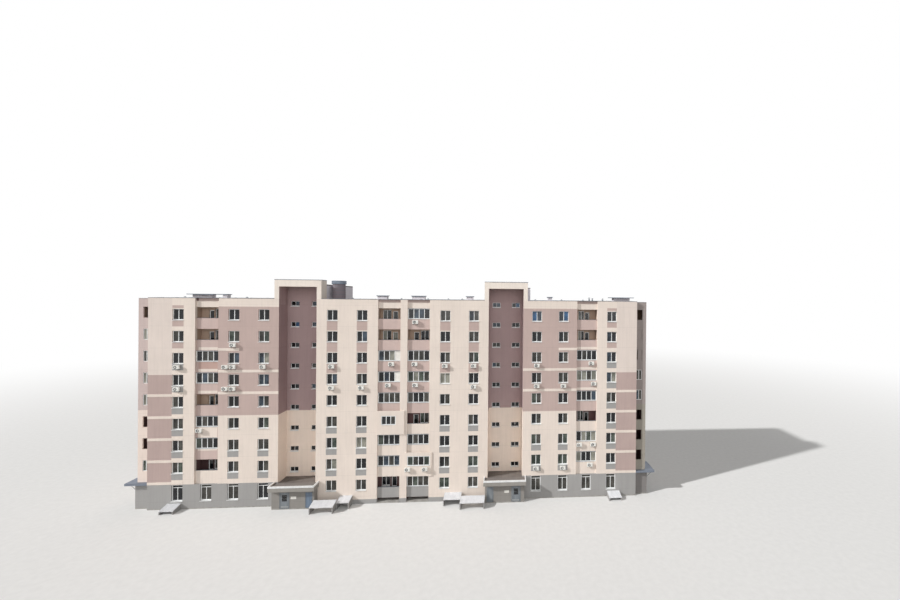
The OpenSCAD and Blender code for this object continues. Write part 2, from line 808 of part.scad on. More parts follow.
module front_glass()
    both_sides() {
        for (x = [win_x1, win_x2]) window_column(x, glass_set, glass_set + glass_t, [0 : storeys - 1]);
        for (x = [win_x3, win_x4, win_x5]) {
            window_column(x, glass_set, glass_set + glass_t, [1 : storeys - 1]);
            tall_window(x, glass_set, glass_set + glass_t);
        }
        tall_window(outer_loggia_mid, glass_set, glass_set + glass_t);
        stair_holes(recess_d + glass_set, recess_d + glass_set + glass_t);
        mid_loggia_holes(loggia_d + glass_set, loggia_d + glass_set + glass_t);
        outer_loggia_holes(loggia_d + glass_set, loggia_d + glass_set + glass_t);
    }

module rear_glass() {
    rows = [0 : storeys - 1];
    d0 = block_d - glass_set - glass_t;
    for (x = back_middle_columns) window_column(x, d0, d0 + glass_t, rows);
    both_sides() {
        for (x = back_outer_columns) window_column(x, d0, d0 + glass_t, rows);
        for (n = rows) end_wall_holes(half_len - glass_set - glass_t, half_len - glass_set, n);
    }
}

module window_glass()
    color(glass_tint) {
        front_glass();
        rear_glass();
    }

// Each awning is given by its two sides, the depth of its back edge and its two heights.
awnings = [
    [left_awning_in - half_len, left_awning_in + left_awning_w - half_len, 0, low_awning_z1, low_awning_z0],
    [-porch_x0, -awning_left_x1, awning_lap - awning_p, awning_z1, awning_z0],
    [-awning_left_x1, -awning_left_x0, 0, awning_z1, awning_z0],
    [awning_right_x0, awning_right_x1, 0, awning_z1, awning_z0],
    [awning_right_x1, porch_x0, awning_lap - awning_p, awning_z1, awning_z0],
    [half_len - right_awning_in - right_awning_w, half_len - right_awning_in, 0,
        low_awning_z1, low_awning_z0]];

// An upright panel with the profile of an awning, from the ground up to a given thickness.
module awning_profile(x0, x1, d1, z1, z0, low, high)
    translate([x0, front_y + d1, 0])
    rotate([90, 0, 90])
    linear_extrude(x1 - x0)
    polygon([[0, low ? 0 : z1 - high], [0, z1], [-awning_p, z0], [-awning_p, low ? 0 : z0 - high]]);

module awning_walls()
    color(grey)
    for (a = awnings) {
        awning_profile(a[0], a[0] + awning_side_t, a[2], a[3] - awning_t, a[4] - awning_t, true, 0);
        awning_profile(a[1] - awning_side_t, a[1], a[2], a[3] - awning_t, a[4] - awning_t, true, 0);
    }

module awning_roofs()
    color(pale_grey)
    for (a = awnings)
        awning_profile(a[0], a[1], a[2], a[3], a[4], false, awning_t);

module coping_strip(x0, x1, d0, d1)
    block(x0, x1, d0, d1, top_z, top_z + coping_t);

module coping()
    color(dark_grey) {
        coping_strip(-tower_x0, tower_x0, -coping_lip, wall_t + coping_lip);
        both_sides() {
            coping_strip(tower_x1, half_len + coping_lip, -coping_lip, wall_t + coping_lip);
            coping_strip(half_len - wall_t - coping_lip, half_len + coping_lip,
                wall_t + coping_lip, rear_end - coping_lip);
        }
        coping_strip(-half_len - coping_lip, half_len + coping_lip,
            rear_end - coping_lip, block_d + coping_lip);
    }

// Vent shafts on the roof: middle, width, depth of the middle and overhang of the cap of each.
// The middle is a share of the way from the middle of the roof to a stair tower, or from a tower
// to the corner.
function inside_x(share) = share * tower_x0;
function outside_x(share) = sign(share) * tower_x1 + share * (half_len - tower_x1);
vents = [[outside_x(-0.8205), 1370, 3000, broad_lip], [outside_x(-0.624), 300, 3000, vent_lip],
    [outside_x(-0.115), 900, 4800, vent_lip], [inside_x(-0.396), 720, 2600, vent_lip],
    [inside_x(0.083), 960, 2600, vent_lip], [inside_x(0.769), 510, 3000, vent_lip],
    [outside_x(0.2365), 330, 3000, vent_lip], [outside_x(0.878), 1270, 900, broad_lip]];

module drum(r, z0, z1)
    translate([-tower_x0 + drum_out, front_y + drum_d, z0]) cylinder(r = r, h = z1 - z0, $fn = 48);

module vent_shafts()
    color(grey) {
        for (v = vents)
            block(v[0] - v[1] / 2, v[0] + v[1] / 2, v[2] - vent_w / 2, v[2] + vent_w / 2,
                roof_z, roof_z + vent_h);
        drum(drum_r, roof_z, roof_z + drum_h);
    }

module vent_caps()
    color(dark_grey) {
        for (v = vents)
            block(v[0] - v[1] / 2 - v[3], v[0] + v[1] / 2 + v[3],
                v[2] - vent_w / 2 - v[3], v[2] + vent_w / 2 + v[3],
                roof_z + vent_h, roof_z + vent_h + vent_cap_t);
        drum(drum_r + drum_lip, roof_z + drum_h, roof_z + drum_h + drum_cap_t);
    }

// A cooling unit hangs on two brackets that bridge its gap to the wall.
module unit(x, d, z) {
    block(x - unit_w / 2, x + unit_w / 2, d - unit_gap - unit_d, d - unit_gap, z, z + unit_h);
    for (side = [-1, 1])
        block(x + side * bracket_pitch / 2 - bracket_t / 2, x + side * bracket_pitch / 2 + bracket_t / 2,
            d - unit_gap, d, z, z + bracket_h);
}

// Cooling units under the windows: place along the front and storey.
window_units = [[-win_x4, 7], [-win_x5, 6], [-win_x4, 6], [-win_x3, 6], [-win_x2, 6],
    [-win_x5, 5], [-win_x4, 5], [-win_x2, 5], [-win_x1, 5], [win_x1, 6], [win_x2, 6],
    [win_x2, 5], [win_x3, 6], [win_x3, 5], [win_x4, 5], [win_x3, 1], [win_x4, 1],
    [-win_x4 - second_unit_out, 6], [-win_x4 - second_unit_out, 5]];
// Cooling units on loggia parapets: stack, share of the way across it, and storey.
loggia_units = [[0, 0.818, 3], [1, 0.402, 6], [1, 0.543, 5], [2, 0.344, 8], [2, 0.325, 6],
    [2, 0.357, 5], [3, 0.72, 6], [3, 0.845, 5], [3, 0.152, 2], [3, 0.845, 2], [3, 0.686, 1]];
// Cooling units on the right enclosed balcony: share of the way across it.
enclosure_units = [0.144, 0.763];
unit_below = unit_h + unit_drop;

module loggia_unit(stack, share, n) {
    x = stack_x0(stack) + share * (stack_x1(stack) - stack_x0(stack));
    on_side(stack < 2 ? -1 : 1) unit(x, parapet_set, floor_z(n) + rail_up - unit_below);
}

module enclosure_unit(e, share)
    unit(enclosure_x(e, share), -enclosure_t, enclosure_z(e, e[4][0]) - unit_below);

module cooling_units()
    color(white) {
        for (u = window_units)
            if (u[1] < storeys) unit(u[0], 0, floor_z(u[1]) + sill_up - unit_below);
        for (u = loggia_units)
            if (u[2] < storeys) loggia_unit(u[0], u[1], u[2]);
        for (share = enclosure_units) enclosure_unit(enclosures[1], share);
    }

ground_slab();
ground_storey_walls();
front_walls_end();
front_walls_inner();
front_walls_middle();
middle_pier();
end_walls();
back_walls_outer();
back_wall_middle();
rear_floors();
bay_floors();
loggia_floors();
roof_rear();
roof_front();
cross_walls();
stair_recess_walls();
stair_landings();
portal_legs();
portal_beams();
stair_head_walls();
machine_rooms();
tower_roofs();
loggia_back_walls();
loggia_parapets();
loggia_glazing();
balcony_enclosures();
end_loggia_fronts();
end_ground_walls();
end_canopies();
doorway_walls();
porch_side_walls();
porch_beams();
porch_canopies();
door_pivots();
entrance_door_left();
entrance_door_right();
bin_door_left();
bin_door_right();
window_glass();
awning_roofs();
awning_walls();
coping();
vent_shafts();
vent_caps();
cooling_units();
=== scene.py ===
import math
import random

import bmesh
import bpy
from mathutils import Matrix, Vector


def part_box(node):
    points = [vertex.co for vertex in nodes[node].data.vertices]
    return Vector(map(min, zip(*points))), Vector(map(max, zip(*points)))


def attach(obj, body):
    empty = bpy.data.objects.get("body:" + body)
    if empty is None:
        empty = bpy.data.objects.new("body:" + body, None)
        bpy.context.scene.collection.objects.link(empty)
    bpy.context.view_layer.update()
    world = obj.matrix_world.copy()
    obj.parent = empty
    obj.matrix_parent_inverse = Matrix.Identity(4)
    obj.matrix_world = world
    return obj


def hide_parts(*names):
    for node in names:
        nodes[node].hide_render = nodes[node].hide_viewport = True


# A nine-storey apartment block at half its real size: one metre here is two real metres.
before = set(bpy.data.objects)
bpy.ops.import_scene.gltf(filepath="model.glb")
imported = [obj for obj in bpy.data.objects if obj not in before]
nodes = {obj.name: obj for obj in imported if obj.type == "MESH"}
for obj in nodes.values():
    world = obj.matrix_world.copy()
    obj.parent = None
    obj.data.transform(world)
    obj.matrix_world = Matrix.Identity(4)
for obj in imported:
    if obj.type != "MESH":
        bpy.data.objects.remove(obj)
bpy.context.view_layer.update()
dice = random.Random(41)
print("frame loaded with", len(nodes), "nodes")

# Planes of the solids, then heights and places as in the CAD source, in metres. The glass stands
# glassIn behind the face of its wall.
frontY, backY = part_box("front_walls_middle")[0].y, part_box("back_wall_middle")[1].y
halfLen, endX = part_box("front_walls_end")[1].x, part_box("end_loggia_fronts")[1].x
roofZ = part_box("roof_rear")[1].z
top = 16.0  # over everything, where the last zone of colour ends
floorZ, storeyH, sillUp, railUp, glassIn = 0.525, 1.5, 0.425, 0.55, 0.096
columnX = (2.8978, 4.9320, 9.4979, 11.4660, 15.0712)  # window columns from the middle outwards
halfColumn = 0.3625
outerLoggia = (13.2175, 0.759)  # middle and half width
endLoggiaY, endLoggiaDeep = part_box("end_loggia_fronts")[0].y, 1.41
recessX = (5.99, 8.5)


def level(n, up=0.0):
    # height above the ground of a point over the floor of storey n
    return floorZ + n * storeyH + up


def linearFrom(code):
    parts = [int(code[i:i + 2], 16) / 255 for i in (1, 3, 5)]
    return tuple(c / 12.92 if c <= 0.04045 else ((c + 0.055) / 1.055) ** 2.4 for c in parts) + (1.0,)


def setOn(node, values):
    # a node or a socket is linked, a node by its first output, and any other value is set
    for key, value in values.items():
        if isinstance(value, (bpy.types.Node, bpy.types.NodeSocket)):
            node.id_data.links.new(getattr(value, "outputs", [value])[0], node.inputs[key])
        elif isinstance(key, int) or (key in node.inputs and not hasattr(node, key)):
            node.inputs[key].default_value = value
        else:
            setattr(node, key, value)


def adderFor(tree):
    # gives the function that adds a node to this tree: its kind, and the operation if it has one,
    # then values and links, and for a ramp its stops and how it goes from one to the next
    def add(kind, values=None, stops=None, between="LINEAR"):
        kind, *operation = kind.split()
        node = tree.nodes.new("ShaderNode" + kind)
        if operation:
            node.operation = operation[0]
        setOn(node, values or {})
        if stops:
            ramp = node.color_ramp
            ramp.interpolation = between
            while len(ramp.elements) < len(stops):
                ramp.elements.new(1.0)
            for element, (at, code) in zip(ramp.elements, stops):
                element.position = at
                element.color = linearFrom(code)
        return node

    return add


def startMaterial(name, settings):
    material = bpy.data.materials.new(name)
    material.use_nodes = True
    add, shader = adderFor(material.node_tree), material.node_tree.nodes["Principled BSDF"]
    setOn(shader, settings)
    return material, add, shader, add("TexCoord").outputs["Object"]


paint = {
    "cream": "#E6D9CE",
    "portalCream": "#ECE1D6",
    "endCream": "#DFD2C9",
    "sand": "#E8D8CD",
    "taupe": "#BFAAA3",
    "endTaupe": "#B9A49E",
    "salmon": "#BFA298",
    "rail": "#C8B3AC",
    "endRail": "#C7B6B1",
    # mauve: the taupe darkened as painted shade, for the stair recesses and the portals' inner faces
    "mauve": "#AB9493",
    # the mauve darker again for the cheeks of the recesses: painted shade
    "mauveSide": "#A08A89",
    "tan": "#E8D9CC",
    "grey": "#A2A09E",
    # porch: a darker grey than the ground storey, in part painted shade under the canopies
    "porch": "#908C87",
    "fascia": "#99958F",
    # darker copies of the end colours for the right end of the block: painted shade
    "dusk": "#9C928E",
    "duskPale": "#9B958B",
    "duskGrey": "#85817F",
    "loggia": "#B59D8B",
    "maroon": "#6B5150",
    "darkMaroon": "#432F2F",
    "roofRoom": "#EAE6EC",
    "drum": "#897F85",
    "bitumen": "#7A7470",
}
# where the grey ground storey, the plinth and the taupe storeys end
groundTop, plinthTop, pinkFrom, pinkTo = 1.675, 0.30, 6.375, 13.875


def zoneStops(zones):
    # zones give the colour up to each height, and a lone colour covers all of it
    stops, start = [], 0.0
    for end, colour in [(top, zones)] if isinstance(zones, str) else zones:
        stops.append((start / top, paint[colour]))
        start = end
    return stops


# Mineral render on the walls, trowelled with a sandy grain and painted: matt, faintly cloudy, with
# rain streaks and a thin joint at every floor. Its 2 mm grit is drawn at 9 mm so that it shows.
# A strip has its own zones near one place: by default at that distance from the middle on both
# halves of the block, or at one X or Y if it names that axis.
def paintedRender(name, zones, strips=(), jointDepth=0.12, streak=0.07):
    material, add, shader, spot = startMaterial("mineral_render_" + name,
        {"Roughness": 0.9, "Specular IOR Level": 0.25})
    axes = add("SeparateXYZ", {0: spot}).outputs
    height = add("Math DIVIDE", {1: top, 0: axes["Z"]})
    result = add("ValToRGB", {0: height}, zoneStops(zones), "CONSTANT")
    either = add("Math ABSOLUTE", {0: axes["X"]})
    for middle, half, stripZones, *axis in strips:
        along = axes[axis[0]] if axis else either
        inside = add("Math COMPARE", {1: middle, 2: half, 0: along})
        over = add("ValToRGB", {0: height}, zoneStops(stripZones), "CONSTANT")
        result = add("Mix", {"data_type": "RGBA", 0: inside, 6: result, 7: over}).outputs[2]
    # clouds, rain streaks, grit and joints, each a factor near 1; the grit also gives the relief
    streaked = add("Mapping", {"Scale": (7.0, 7.0, 0.35), "Vector": spot})
    factors = []
    for place, scale, detail, rough, low, high, dark, light in (
            (spot, 0.55, 4.0, 0.6, 0.3, 0.7, 0.955, 1.035),
            (streaked, 1.0, 5.0, 0.7, 0.45, 0.75, 1.01, 1.0 - streak),
            (spot, 110.0, 2.0, 0.5, 0.3, 0.7, 0.965, 1.03)):
        noise = add("TexNoise", {"Scale": scale, "Detail": detail, "Roughness": rough, "Vector": place})
        factors.append(add("MapRange", {1: low, 2: high, 3: dark, 4: light, 0: noise}))
    above = add("Math SUBTRACT", {1: floorZ, 0: axes["Z"]})
    storey = add("Math PINGPONG", {1: storeyH / 2, 0: above})
    joint = add("MapRange", {1: 0.004, 2: 0.012, 3: 1.0 - jointDepth, 4: 1.0, 0: storey})
    shade = factors[0]
    for other in factors[1:] + [joint]:
        shade = add("Math MULTIPLY", {0: shade, 1: other})
    final = add("VectorMath SCALE", {0: result, "Scale": shade})
    relief = add("Math MULTIPLY", {0: noise, 1: joint})
    bump = add("Bump", {"Strength": 0.35, "Distance": 0.004, "Height": relief})
    setOn(shader, {"Base Color": final, "Normal": bump})
    return material


# A material that is speckled between two tones, for cast, felted, coated and moulded surfaces
def speckled(name, dark, light, scale, roughness, bumpDepth=0.0, stretch=(1, 1, 1), metallic=0.0):
    material, add, shader, spot = startMaterial(name, {"Roughness": roughness, "Metallic": metallic})
    placed = add("Mapping", {"Scale": stretch, "Vector": spot})
    fine = add("TexNoise", {"Scale": scale, "Detail": 6.0, "Roughness": 0.62, "Vector": placed})
    tone = add("ValToRGB", {0: fine}, stops=[(0.35, dark), (0.65, light)])
    setOn(shader, {"Base Color": tone})
    if bumpDepth:
        bump = add("Bump", {"Strength": 0.4, "Distance": bumpDepth, "Height": fine})
        setOn(shader, {"Normal": bump})
    return material


# Window glass, float glass over an unlit room: nearly black and glossy, no two panes quite alike
def paneGlass(name, dark, light, folds=0.0):
    material, add, shader, spot = startMaterial(name, {"Roughness": 0.08, "IOR": 1.45})
    room = add("TexNoise", {"Scale": 1.9, "Detail": 2.0, "Roughness": 0.5, "Vector": spot})
    result = add("ValToRGB", {0: room}, stops=[(0.38, dark), (0.62, light)])
    # the curtain's folds are darker bands across the pane: painted shade
    if folds:  # a curtain hangs behind the glass, in folds 120 mm apart on the real one
        wave = add("TexWave", {"Scale": 2.6, "Distortion": 2.5, "Detail": 1.0, "Vector": spot})
        shade = add("MapRange", {3: 1.0 - folds, 4: 1.0, 0: wave.outputs["Fac"]})
        result = add("VectorMath SCALE", {0: result, "Scale": shade})
    setOn(shader, {"Base Color": result})
    return material


# Mineral-surfaced bitumen felt, rolled out in strips one real metre wide: matt, with lapped seams
def rolledFelt(name):
    material, add, shader, spot = startMaterial(name, {"Roughness": 0.95, "Specular IOR Level": 0.2})
    axes = add("SeparateXYZ", {0: spot}).outputs
    strip = add("Math PINGPONG", {1: 0.25, 0: axes["X"]})
    seam = add("MapRange", {1: 0.003, 2: 0.014, 3: 0.72, 4: 1.0, 0: strip})
    patches = add("TexNoise", {"Scale": 0.9, "Detail": 6.0, "Vector": spot})
    tone = add("ValToRGB", {0: patches}, stops=[(0.3, "#605A56"), (0.7, "#7D7671")])
    grit = add("TexNoise", {"Scale": 160.0, "Detail": 2.0, "Vector": spot})
    gritShade = add("MapRange", {1: 0.3, 2: 0.7, 3: 0.9, 4: 1.1, 0: grit})
    shade = add("Math MULTIPLY", {0: seam, 1: gritShade})
    final = add("VectorMath SCALE", {0: tone, "Scale": shade})
    bump = add("Bump", {"Strength": 0.5, "Distance": 0.006, "Height": shade})
    setOn(shader, {"Base Color": final, "Normal": bump})
    return material


# Galvanised sheet steel, hot dipped: a dull blue-grey metal with faint spangle
def zincSheet(name, dark, light):
    material, add, shader, spot = startMaterial(name, {"Metallic": 0.75})
    spangle = add("TexVoronoi", {"Scale": 34.0, "Vector": spot})
    tone = add("ValToRGB", {0: spangle}, stops=[(0.1, dark), (0.8, light)])
    dull = add("MapRange", {1: 0.1, 2: 0.9, 3: 0.42, 4: 0.62, 0: spangle})
    setOn(shader, {"Base Color": tone, "Roughness": dull})
    return material


# The canopy: grey rendered fascia, a pale rim, and felt where its top lies flat
def canopyFinish(name, fasciaTop):
    material = paintedRender(name, [(fasciaTop, "fascia"), (top, "cream")], jointDepth=0.0)
    add, shader = adderFor(material.node_tree), material.node_tree.nodes["Principled BSDF"]
    before = shader.inputs["Base Color"].links[0].from_socket
    coords = add("TexCoord")
    facing, spot = (add("SeparateXYZ", {0: coords.outputs[key]}) for key in ("Normal", "Object"))
    flat = add("Math GREATER_THAN", {1: 0.5, 0: facing.outputs["Z"]})
    low = add("Math LESS_THAN", {1: fasciaTop + 0.02, 0: spot.outputs["Z"]})
    felt = add("Math MULTIPLY", {0: flat, 1: low})
    both = add("Mix", {"data_type": "RGBA", 7: linearFrom(paint["bitumen"]), 0: felt, 6: before})
    setOn(shader, {"Base Color": both.outputs[2]})
    return material


short, full = 0.075, 0.325  # how far a coloured panel under a window reaches below its floor


def underSills(panels, ends, start=()):
    # zones of a window column: cream, with a coloured panel under the window of some storeys
    zones = list(start)
    for n, colour, drop in panels:
        zones += [(level(n, -drop), "cream"), (level(n, sillUp), colour)]
    return zones + ends


# heights over a floor where the cream of the end sections, then its raised band, starts and ends
endCreamFrom, endBandFrom, endBandTo = 1.15, 1.175, 1.35
endBands = [(groundTop, "grey")]
for n in range(5):
    endBands += [(level(n, endBandTo), "endCream"), (level(n + 1, endCreamFrom), "endTaupe")]
endBands += [(top, "endCream")]
greyRows = [(n, "grey", short) for n in range(1, 7)]
fiveZones = underSills(greyRows + [(n, "taupe", short) for n in (7, 8)],
    [(13.70, "cream"), (13.92, "taupe"), (top, "cream")])
innerZones = underSills(greyRows[:2], [(pinkFrom, "cream"), (pinkTo, "taupe"), (top, "cream")])
middleZones = underSills(greyRows[:3] + [(n, "taupe", full) for n in (6, 7, 8)], [(top, "cream")],
    [(plinthTop, "grey")])
# in the stair recesses the upper wall takes the mauve of painted shade
recessZones = [(pinkFrom, "tan"), (top, "mauve")]
# the cheeks take a darker mauve than the back wall: painted shade
cheekZones = [(pinkFrom, "tan"), (top, "mauveSide")]
# inside the loggias: maroon low down and tan-brown above, partly their own paint and partly painted shade
insideZones = [(pinkFrom, "maroon"), (top, "loggia")]
sideWallX = endX - 0.09  # inner face of the outer side wall of an end loggia
bandRows, bandHigh = (7.825, 9.325, 10.825), 0.19  # the cream bands between the recess and the loggias
outerRails = [(6.2, "cream")]
for z in bandRows:
    outerRails += [(z, "rail"), (z + bandHigh, "cream")]
outerRails += [(13.8, "rail"), (14.25, "cream"), (top, "taupe")]
leftRails = [(3.3, "cream"), (3.92, "rail")] + outerRails[:5] + [(10.2, "salmon")] + outerRails[5:]
# the top of the left outer loggia ends in maroon at both sides: painted shade in the inside corners
cornerShadeEnds = [(3.3, "cream"), (13.8, "taupe"), (14.2, "cream"), (top, "maroon")]

finishes = {
    "endField": paintedRender("end_field", [(groundTop, "grey"), (top, "cream")],
        [(15.84, 1.131, endBands), (columnX[4], halfColumn, fiveZones)]),
    "innerField": paintedRender("inner_field",
        [(groundTop, "grey"), (pinkFrom, "cream"), (pinkTo, "taupe"), (top, "cream")],
        [(columnX[2], halfColumn, innerZones), (columnX[3], halfColumn, innerZones),
         (recessX[1], 0.003, cheekZones)]),
    "middleField": paintedRender("middle_field", [(plinthTop, "grey"), (top, "cream")],
        [(columnX[0], halfColumn, middleZones), (columnX[1], halfColumn, middleZones),
         (recessX[0], 0.003, cheekZones)]),
    "greyStorey": paintedRender("grey", "grey"),
    "porch": paintedRender("porch", "porch"),
    # the right end of the ground storey is a darker grey: painted shade
    "endGround": paintedRender("end_ground", "grey", [(17.6, 0.7, "duskGrey", "X")]),
    "cream": paintedRender("cream", "cream", jointDepth=0.0),
    "portal": paintedRender("portal", "portalCream",
        # the portals' inner faces take the mauve painted shade of the recess up to 15.3
        [(x, 0.003, [(15.3, "mauve"), (top, "portalCream")]) for x in recessX], jointDepth=0.0),
    "portalBeam": paintedRender("portal_beam", "portalCream", jointDepth=0.0),
    "recess": paintedRender("stair_recess", recessZones),
    "crossWalls": paintedRender("cross_walls", insideZones,
        [(5.93, 0.07, cheekZones), (8.56, 0.07, cheekZones), (17.5, 0.52, [(6.7, "cream"), (top, "taupe")]),
         (endLoggiaY + endLoggiaDeep, 0.0005, insideZones, "Y")]),
    # the lowest storeys of the left outer loggia are darker maroon still: partly paint, partly painted
    # shade
    "loggiaBack": paintedRender("loggia", insideZones,
        [(-outerLoggia[0], outerLoggia[1], [(level(2), "darkMaroon")] + insideZones, "X")]),
    "parapets": paintedRender("parapets",
        [(1.2, "grey"), (6.2, "cream"), (13.8, "rail"), (14.25, "cream"), (top, "taupe")],
        [(outerLoggia[0], outerLoggia[1], outerRails), (-outerLoggia[0], outerLoggia[1], leftRails, "X"),
         (-13.9, 0.075, cornerShadeEnds, "X"), (-12.52, 0.06, cornerShadeEnds, "X")], jointDepth=0.0),
    "endStack": paintedRender("end_stack", [(groundTop, "grey"), (6.7, "sand"), (top, "endRail")],
        # the right end stack is painted darker than the left: painted shade
        [(17.5, 0.6, [(6.7, "duskPale"), (top, "dusk")], "X")]),
    "endWalls": paintedRender("end_walls", [(groundTop, "grey"), (6.7, "cream"), (top, "taupe")],
        [(sideWallX + 0.045, 0.047, [(6.7, "sand"), (top, "taupe")]),
         (sideWallX, 0.003, insideZones)]),
    "rearField": paintedRender("rear",
        [(groundTop, "grey"), (pinkFrom, "cream"), (pinkTo, "taupe"), (top, "cream")]),
    "rearMiddle": paintedRender("rear_middle", [(plinthTop, "grey"), (top, "cream")]),
    "roofRooms": paintedRender("roof_rooms", "roofRoom",
        [(-5.12, 0.45, "drum", "X"), (1.07, 1.95, "roofRoom", "Y"),
         (recessX[0], 0.003, cheekZones), (recessX[1], 0.003, cheekZones)], jointDepth=0.0, streak=0.14),
    "canopy": canopyFinish("canopy", 1.6),
    # reinforced concrete, cast against boards: pale grey, pitted and blotched
    "concrete": speckled("cast_concrete", "#8E8B86", "#ACA9A3", 3.0, 0.88, 0.004),
    "felt": rolledFelt("bitumen_felt"),
    "zinc": zincSheet("galvanised_sheet", "#5E646B", "#868D94"),
    "blueZinc": zincSheet("coated_sheet_blue", "#6E747F", "#878E9A"),
    "capZinc": zincSheet("weathered_sheet_cap", "#5B6672", "#7D8996"),
    # unplasticised PVC, extruded: clean white with a soft sheen
    "pvc": speckled("extruded_pvc_white", "#E4E5E4", "#F1F2F1", 9.0, 0.36),
    # sheet steel, powder coated white: sills and drips, a little dusty
    "whiteSheet": speckled("powder_coated_sill", "#D9DAD9", "#EEEEED", 5.0, 0.45, stretch=(1, 1, 0.3)),
    # sheet steel casing, baked enamel: off-white, smooth, slightly yellowed
    "enamel": speckled("baked_enamel_casing", "#DEDDD6", "#EFEEE9", 6.0, 0.32),
    # ABS, moulded: the dark fan grille
    "abs": speckled("moulded_abs_dark", "#2B2D30", "#3E4145", 30.0, 0.5),
    # rubber foam sleeve over the copper lines
    "foam": speckled("foam_pipe_sleeve", "#C9C5BC", "#DAD7D0", 40.0, 0.85, 0.001),
    # sheet steel doors, sprayed: grey and blue, with light dust
    "greyDoor": speckled("sprayed_steel_grey", "#74797E", "#878C90", 4.0, 0.42, stretch=(1, 1, 0.25)),
    "blueDoor": speckled("sprayed_steel_blue", "#5F6D7E", "#728193", 4.0, 0.42, stretch=(1, 1, 0.25)),
    # polyester-coated roofing sheet, roll formed: pale grey, streaked down the fall
    "sheet": speckled("roll_formed_sheet", "#D2D3D5", "#DEDEE0", 7.0, 0.45, stretch=(1, 0.12, 1)),
    "steel": speckled("brushed_stainless", "#9A9D9F", "#B9BBBC", 60.0, 0.3, stretch=(1, 1, 0.1),
        metallic=1.0),
    "darkGlass": paneGlass("float_glass_dark", "#111315", "#26282B"),
    "midGlass": paneGlass("float_glass_shaded", "#33322F", "#53514C", 0.25),
    "paleGlass": paneGlass("float_glass_curtain", "#77786F", "#A09F93", 0.3),
    "greenGlass": paneGlass("float_glass_green", "#303934", "#5A6259", 0.2),
    "blueGlass": paneGlass("float_glass_blue", "#242B34", "#45525F", 0.1),
    # bright blue panes: the sky mirrored in them, a painted reflection
    "skyGlass": paneGlass("float_glass_sky", "#1A4468", "#2C618F"),
    # a painted board in place of a pane
    "board": speckled("painted_board", "#D9D6CF", "#E9E6E0", 5.0, 0.6),
}

# which solids get each finish
finishNodes = {
    "concrete": "ground_slab rear_floors bay_floors loggia_floors stair_landings",
    "greyStorey": "ground_storey_walls awning_walls",
    "endField": "front_walls_end",
    "innerField": "front_walls_inner",
    "middleField": "front_walls_middle middle_pier",
    "endWalls": "end_walls",
    "rearField": "back_walls_outer",
    "rearMiddle": "back_wall_middle",
    "felt": "roof_rear roof_front tower_roofs",
    "crossWalls": "cross_walls",
    "recess": "stair_recess_walls",
    "portal": "portal_legs",
    "portalBeam": "portal_beams",
    "roofRooms": "stair_head_walls machine_rooms vent_shafts",
    "loggiaBack": "loggia_back_walls",
    "parapets": "loggia_parapets",
    "darkGlass": "window_glass loggia_glazing",
    "cream": "balcony_enclosures",
    "endStack": "end_loggia_fronts",
    "endGround": "end_ground_walls",
    "blueZinc": "end_canopies",
    "porch": "doorway_walls porch_side_walls porch_beams",
    "canopy": "porch_canopies",
    "steel": "door_pivots",
    "greyDoor": "entrance_door_left entrance_door_right bin_door_right",
    "blueDoor": "bin_door_left",
    "sheet": "awning_roofs",
    "zinc": "coping",
    "capZinc": "vent_caps",
    "enamel": "cooling_units",
}
for key, names in finishNodes.items():
    for name in names.split():
        nodes[name].data.materials.clear()
        nodes[name].data.materials.append(finishes[key])
print("finishes given to the solids")


def edgesOf(verts):
    # each once and in order: with sets, the triangles of more pieces would come in another order each run
    return list(dict.fromkeys(e for v in verts for e in v.link_edges))


def facesOf(verts):
    return list(dict.fromkeys(f for v in verts for f in v.link_faces))


def roundEdges(mesh, edges, offset, segments):
    bmesh.ops.bevel(mesh, geom=edges, offset=offset, affect="EDGES", segments=segments, profile=0.5,
        material=-1)


def bar(mesh, x0, x1, y0, y1, z0, z1, slotIndex=0):
    low, high = Vector((x0, y0, z0)), Vector((x1, y1, z1))
    place = Matrix.LocRotScale((low + high) / 2, None, high - low)
    made = bmesh.ops.create_cube(mesh, size=1.0, matrix=place)
    for face in facesOf(made["verts"]):
        face.material_index = slotIndex
    return made["verts"]


def ring(mesh, x0, x1, z0, z1, y0, y1, width, slotIndex=0):
    # a rectangular frame with an open middle, standing in the XZ plane
    verts = bar(mesh, x0, x1, y0, y1, z0, z1, slotIndex)
    faces = facesOf(verts)
    for face in faces:
        face.normal_update()
    caps = [f for f in faces if abs(f.normal.y) > 0.9]
    bmesh.ops.inset_individual(mesh, faces=caps, thickness=width, depth=0.0, use_even_offset=True)
    edges = [e for f in caps for e in f.edges]
    bmesh.ops.delete(mesh, geom=caps, context="FACES_ONLY")
    made = bmesh.ops.bridge_loops(mesh, edges=edges)
    for face in made["faces"]:
        face.material_index = slotIndex


def hoop(mesh, centre, radius, thick, steps):
    # a round wire ring about the Y axis, from a square section spun once round
    verts = bmesh.ops.create_grid(mesh, x_segments=1, y_segments=1, size=thick / 2,
        matrix=Matrix.Translation(centre + Vector((radius, 0, 0))))["verts"]
    bmesh.ops.spin(mesh, geom=[*verts, *edgesOf(verts), *facesOf(verts)], cent=centre, axis=(0, 1, 0),
        angle=math.tau, steps=steps, use_merge=True)


def disc(mesh, centre, radius, depth, steps, slotIndex=0, turn=None, radiusTop=None):
    made = bmesh.ops.create_cone(mesh, cap_ends=True, segments=steps, radius1=radius,
        radius2=radius if radiusTop is None else radiusTop, depth=depth,
        matrix=Matrix.Translation(centre) @ (turn or Matrix.Identity(4)))
    for face in facesOf(made["verts"]):
        face.material_index = slotIndex


def rod(mesh, start, end, radius, steps, slotIndex=0):
    way = Vector(end) - Vector(start)
    disc(mesh, (Vector(start) + Vector(end)) / 2, radius, way.length, steps, slotIndex,
        way.to_track_quat("Z", "Y").to_matrix().to_4x4())


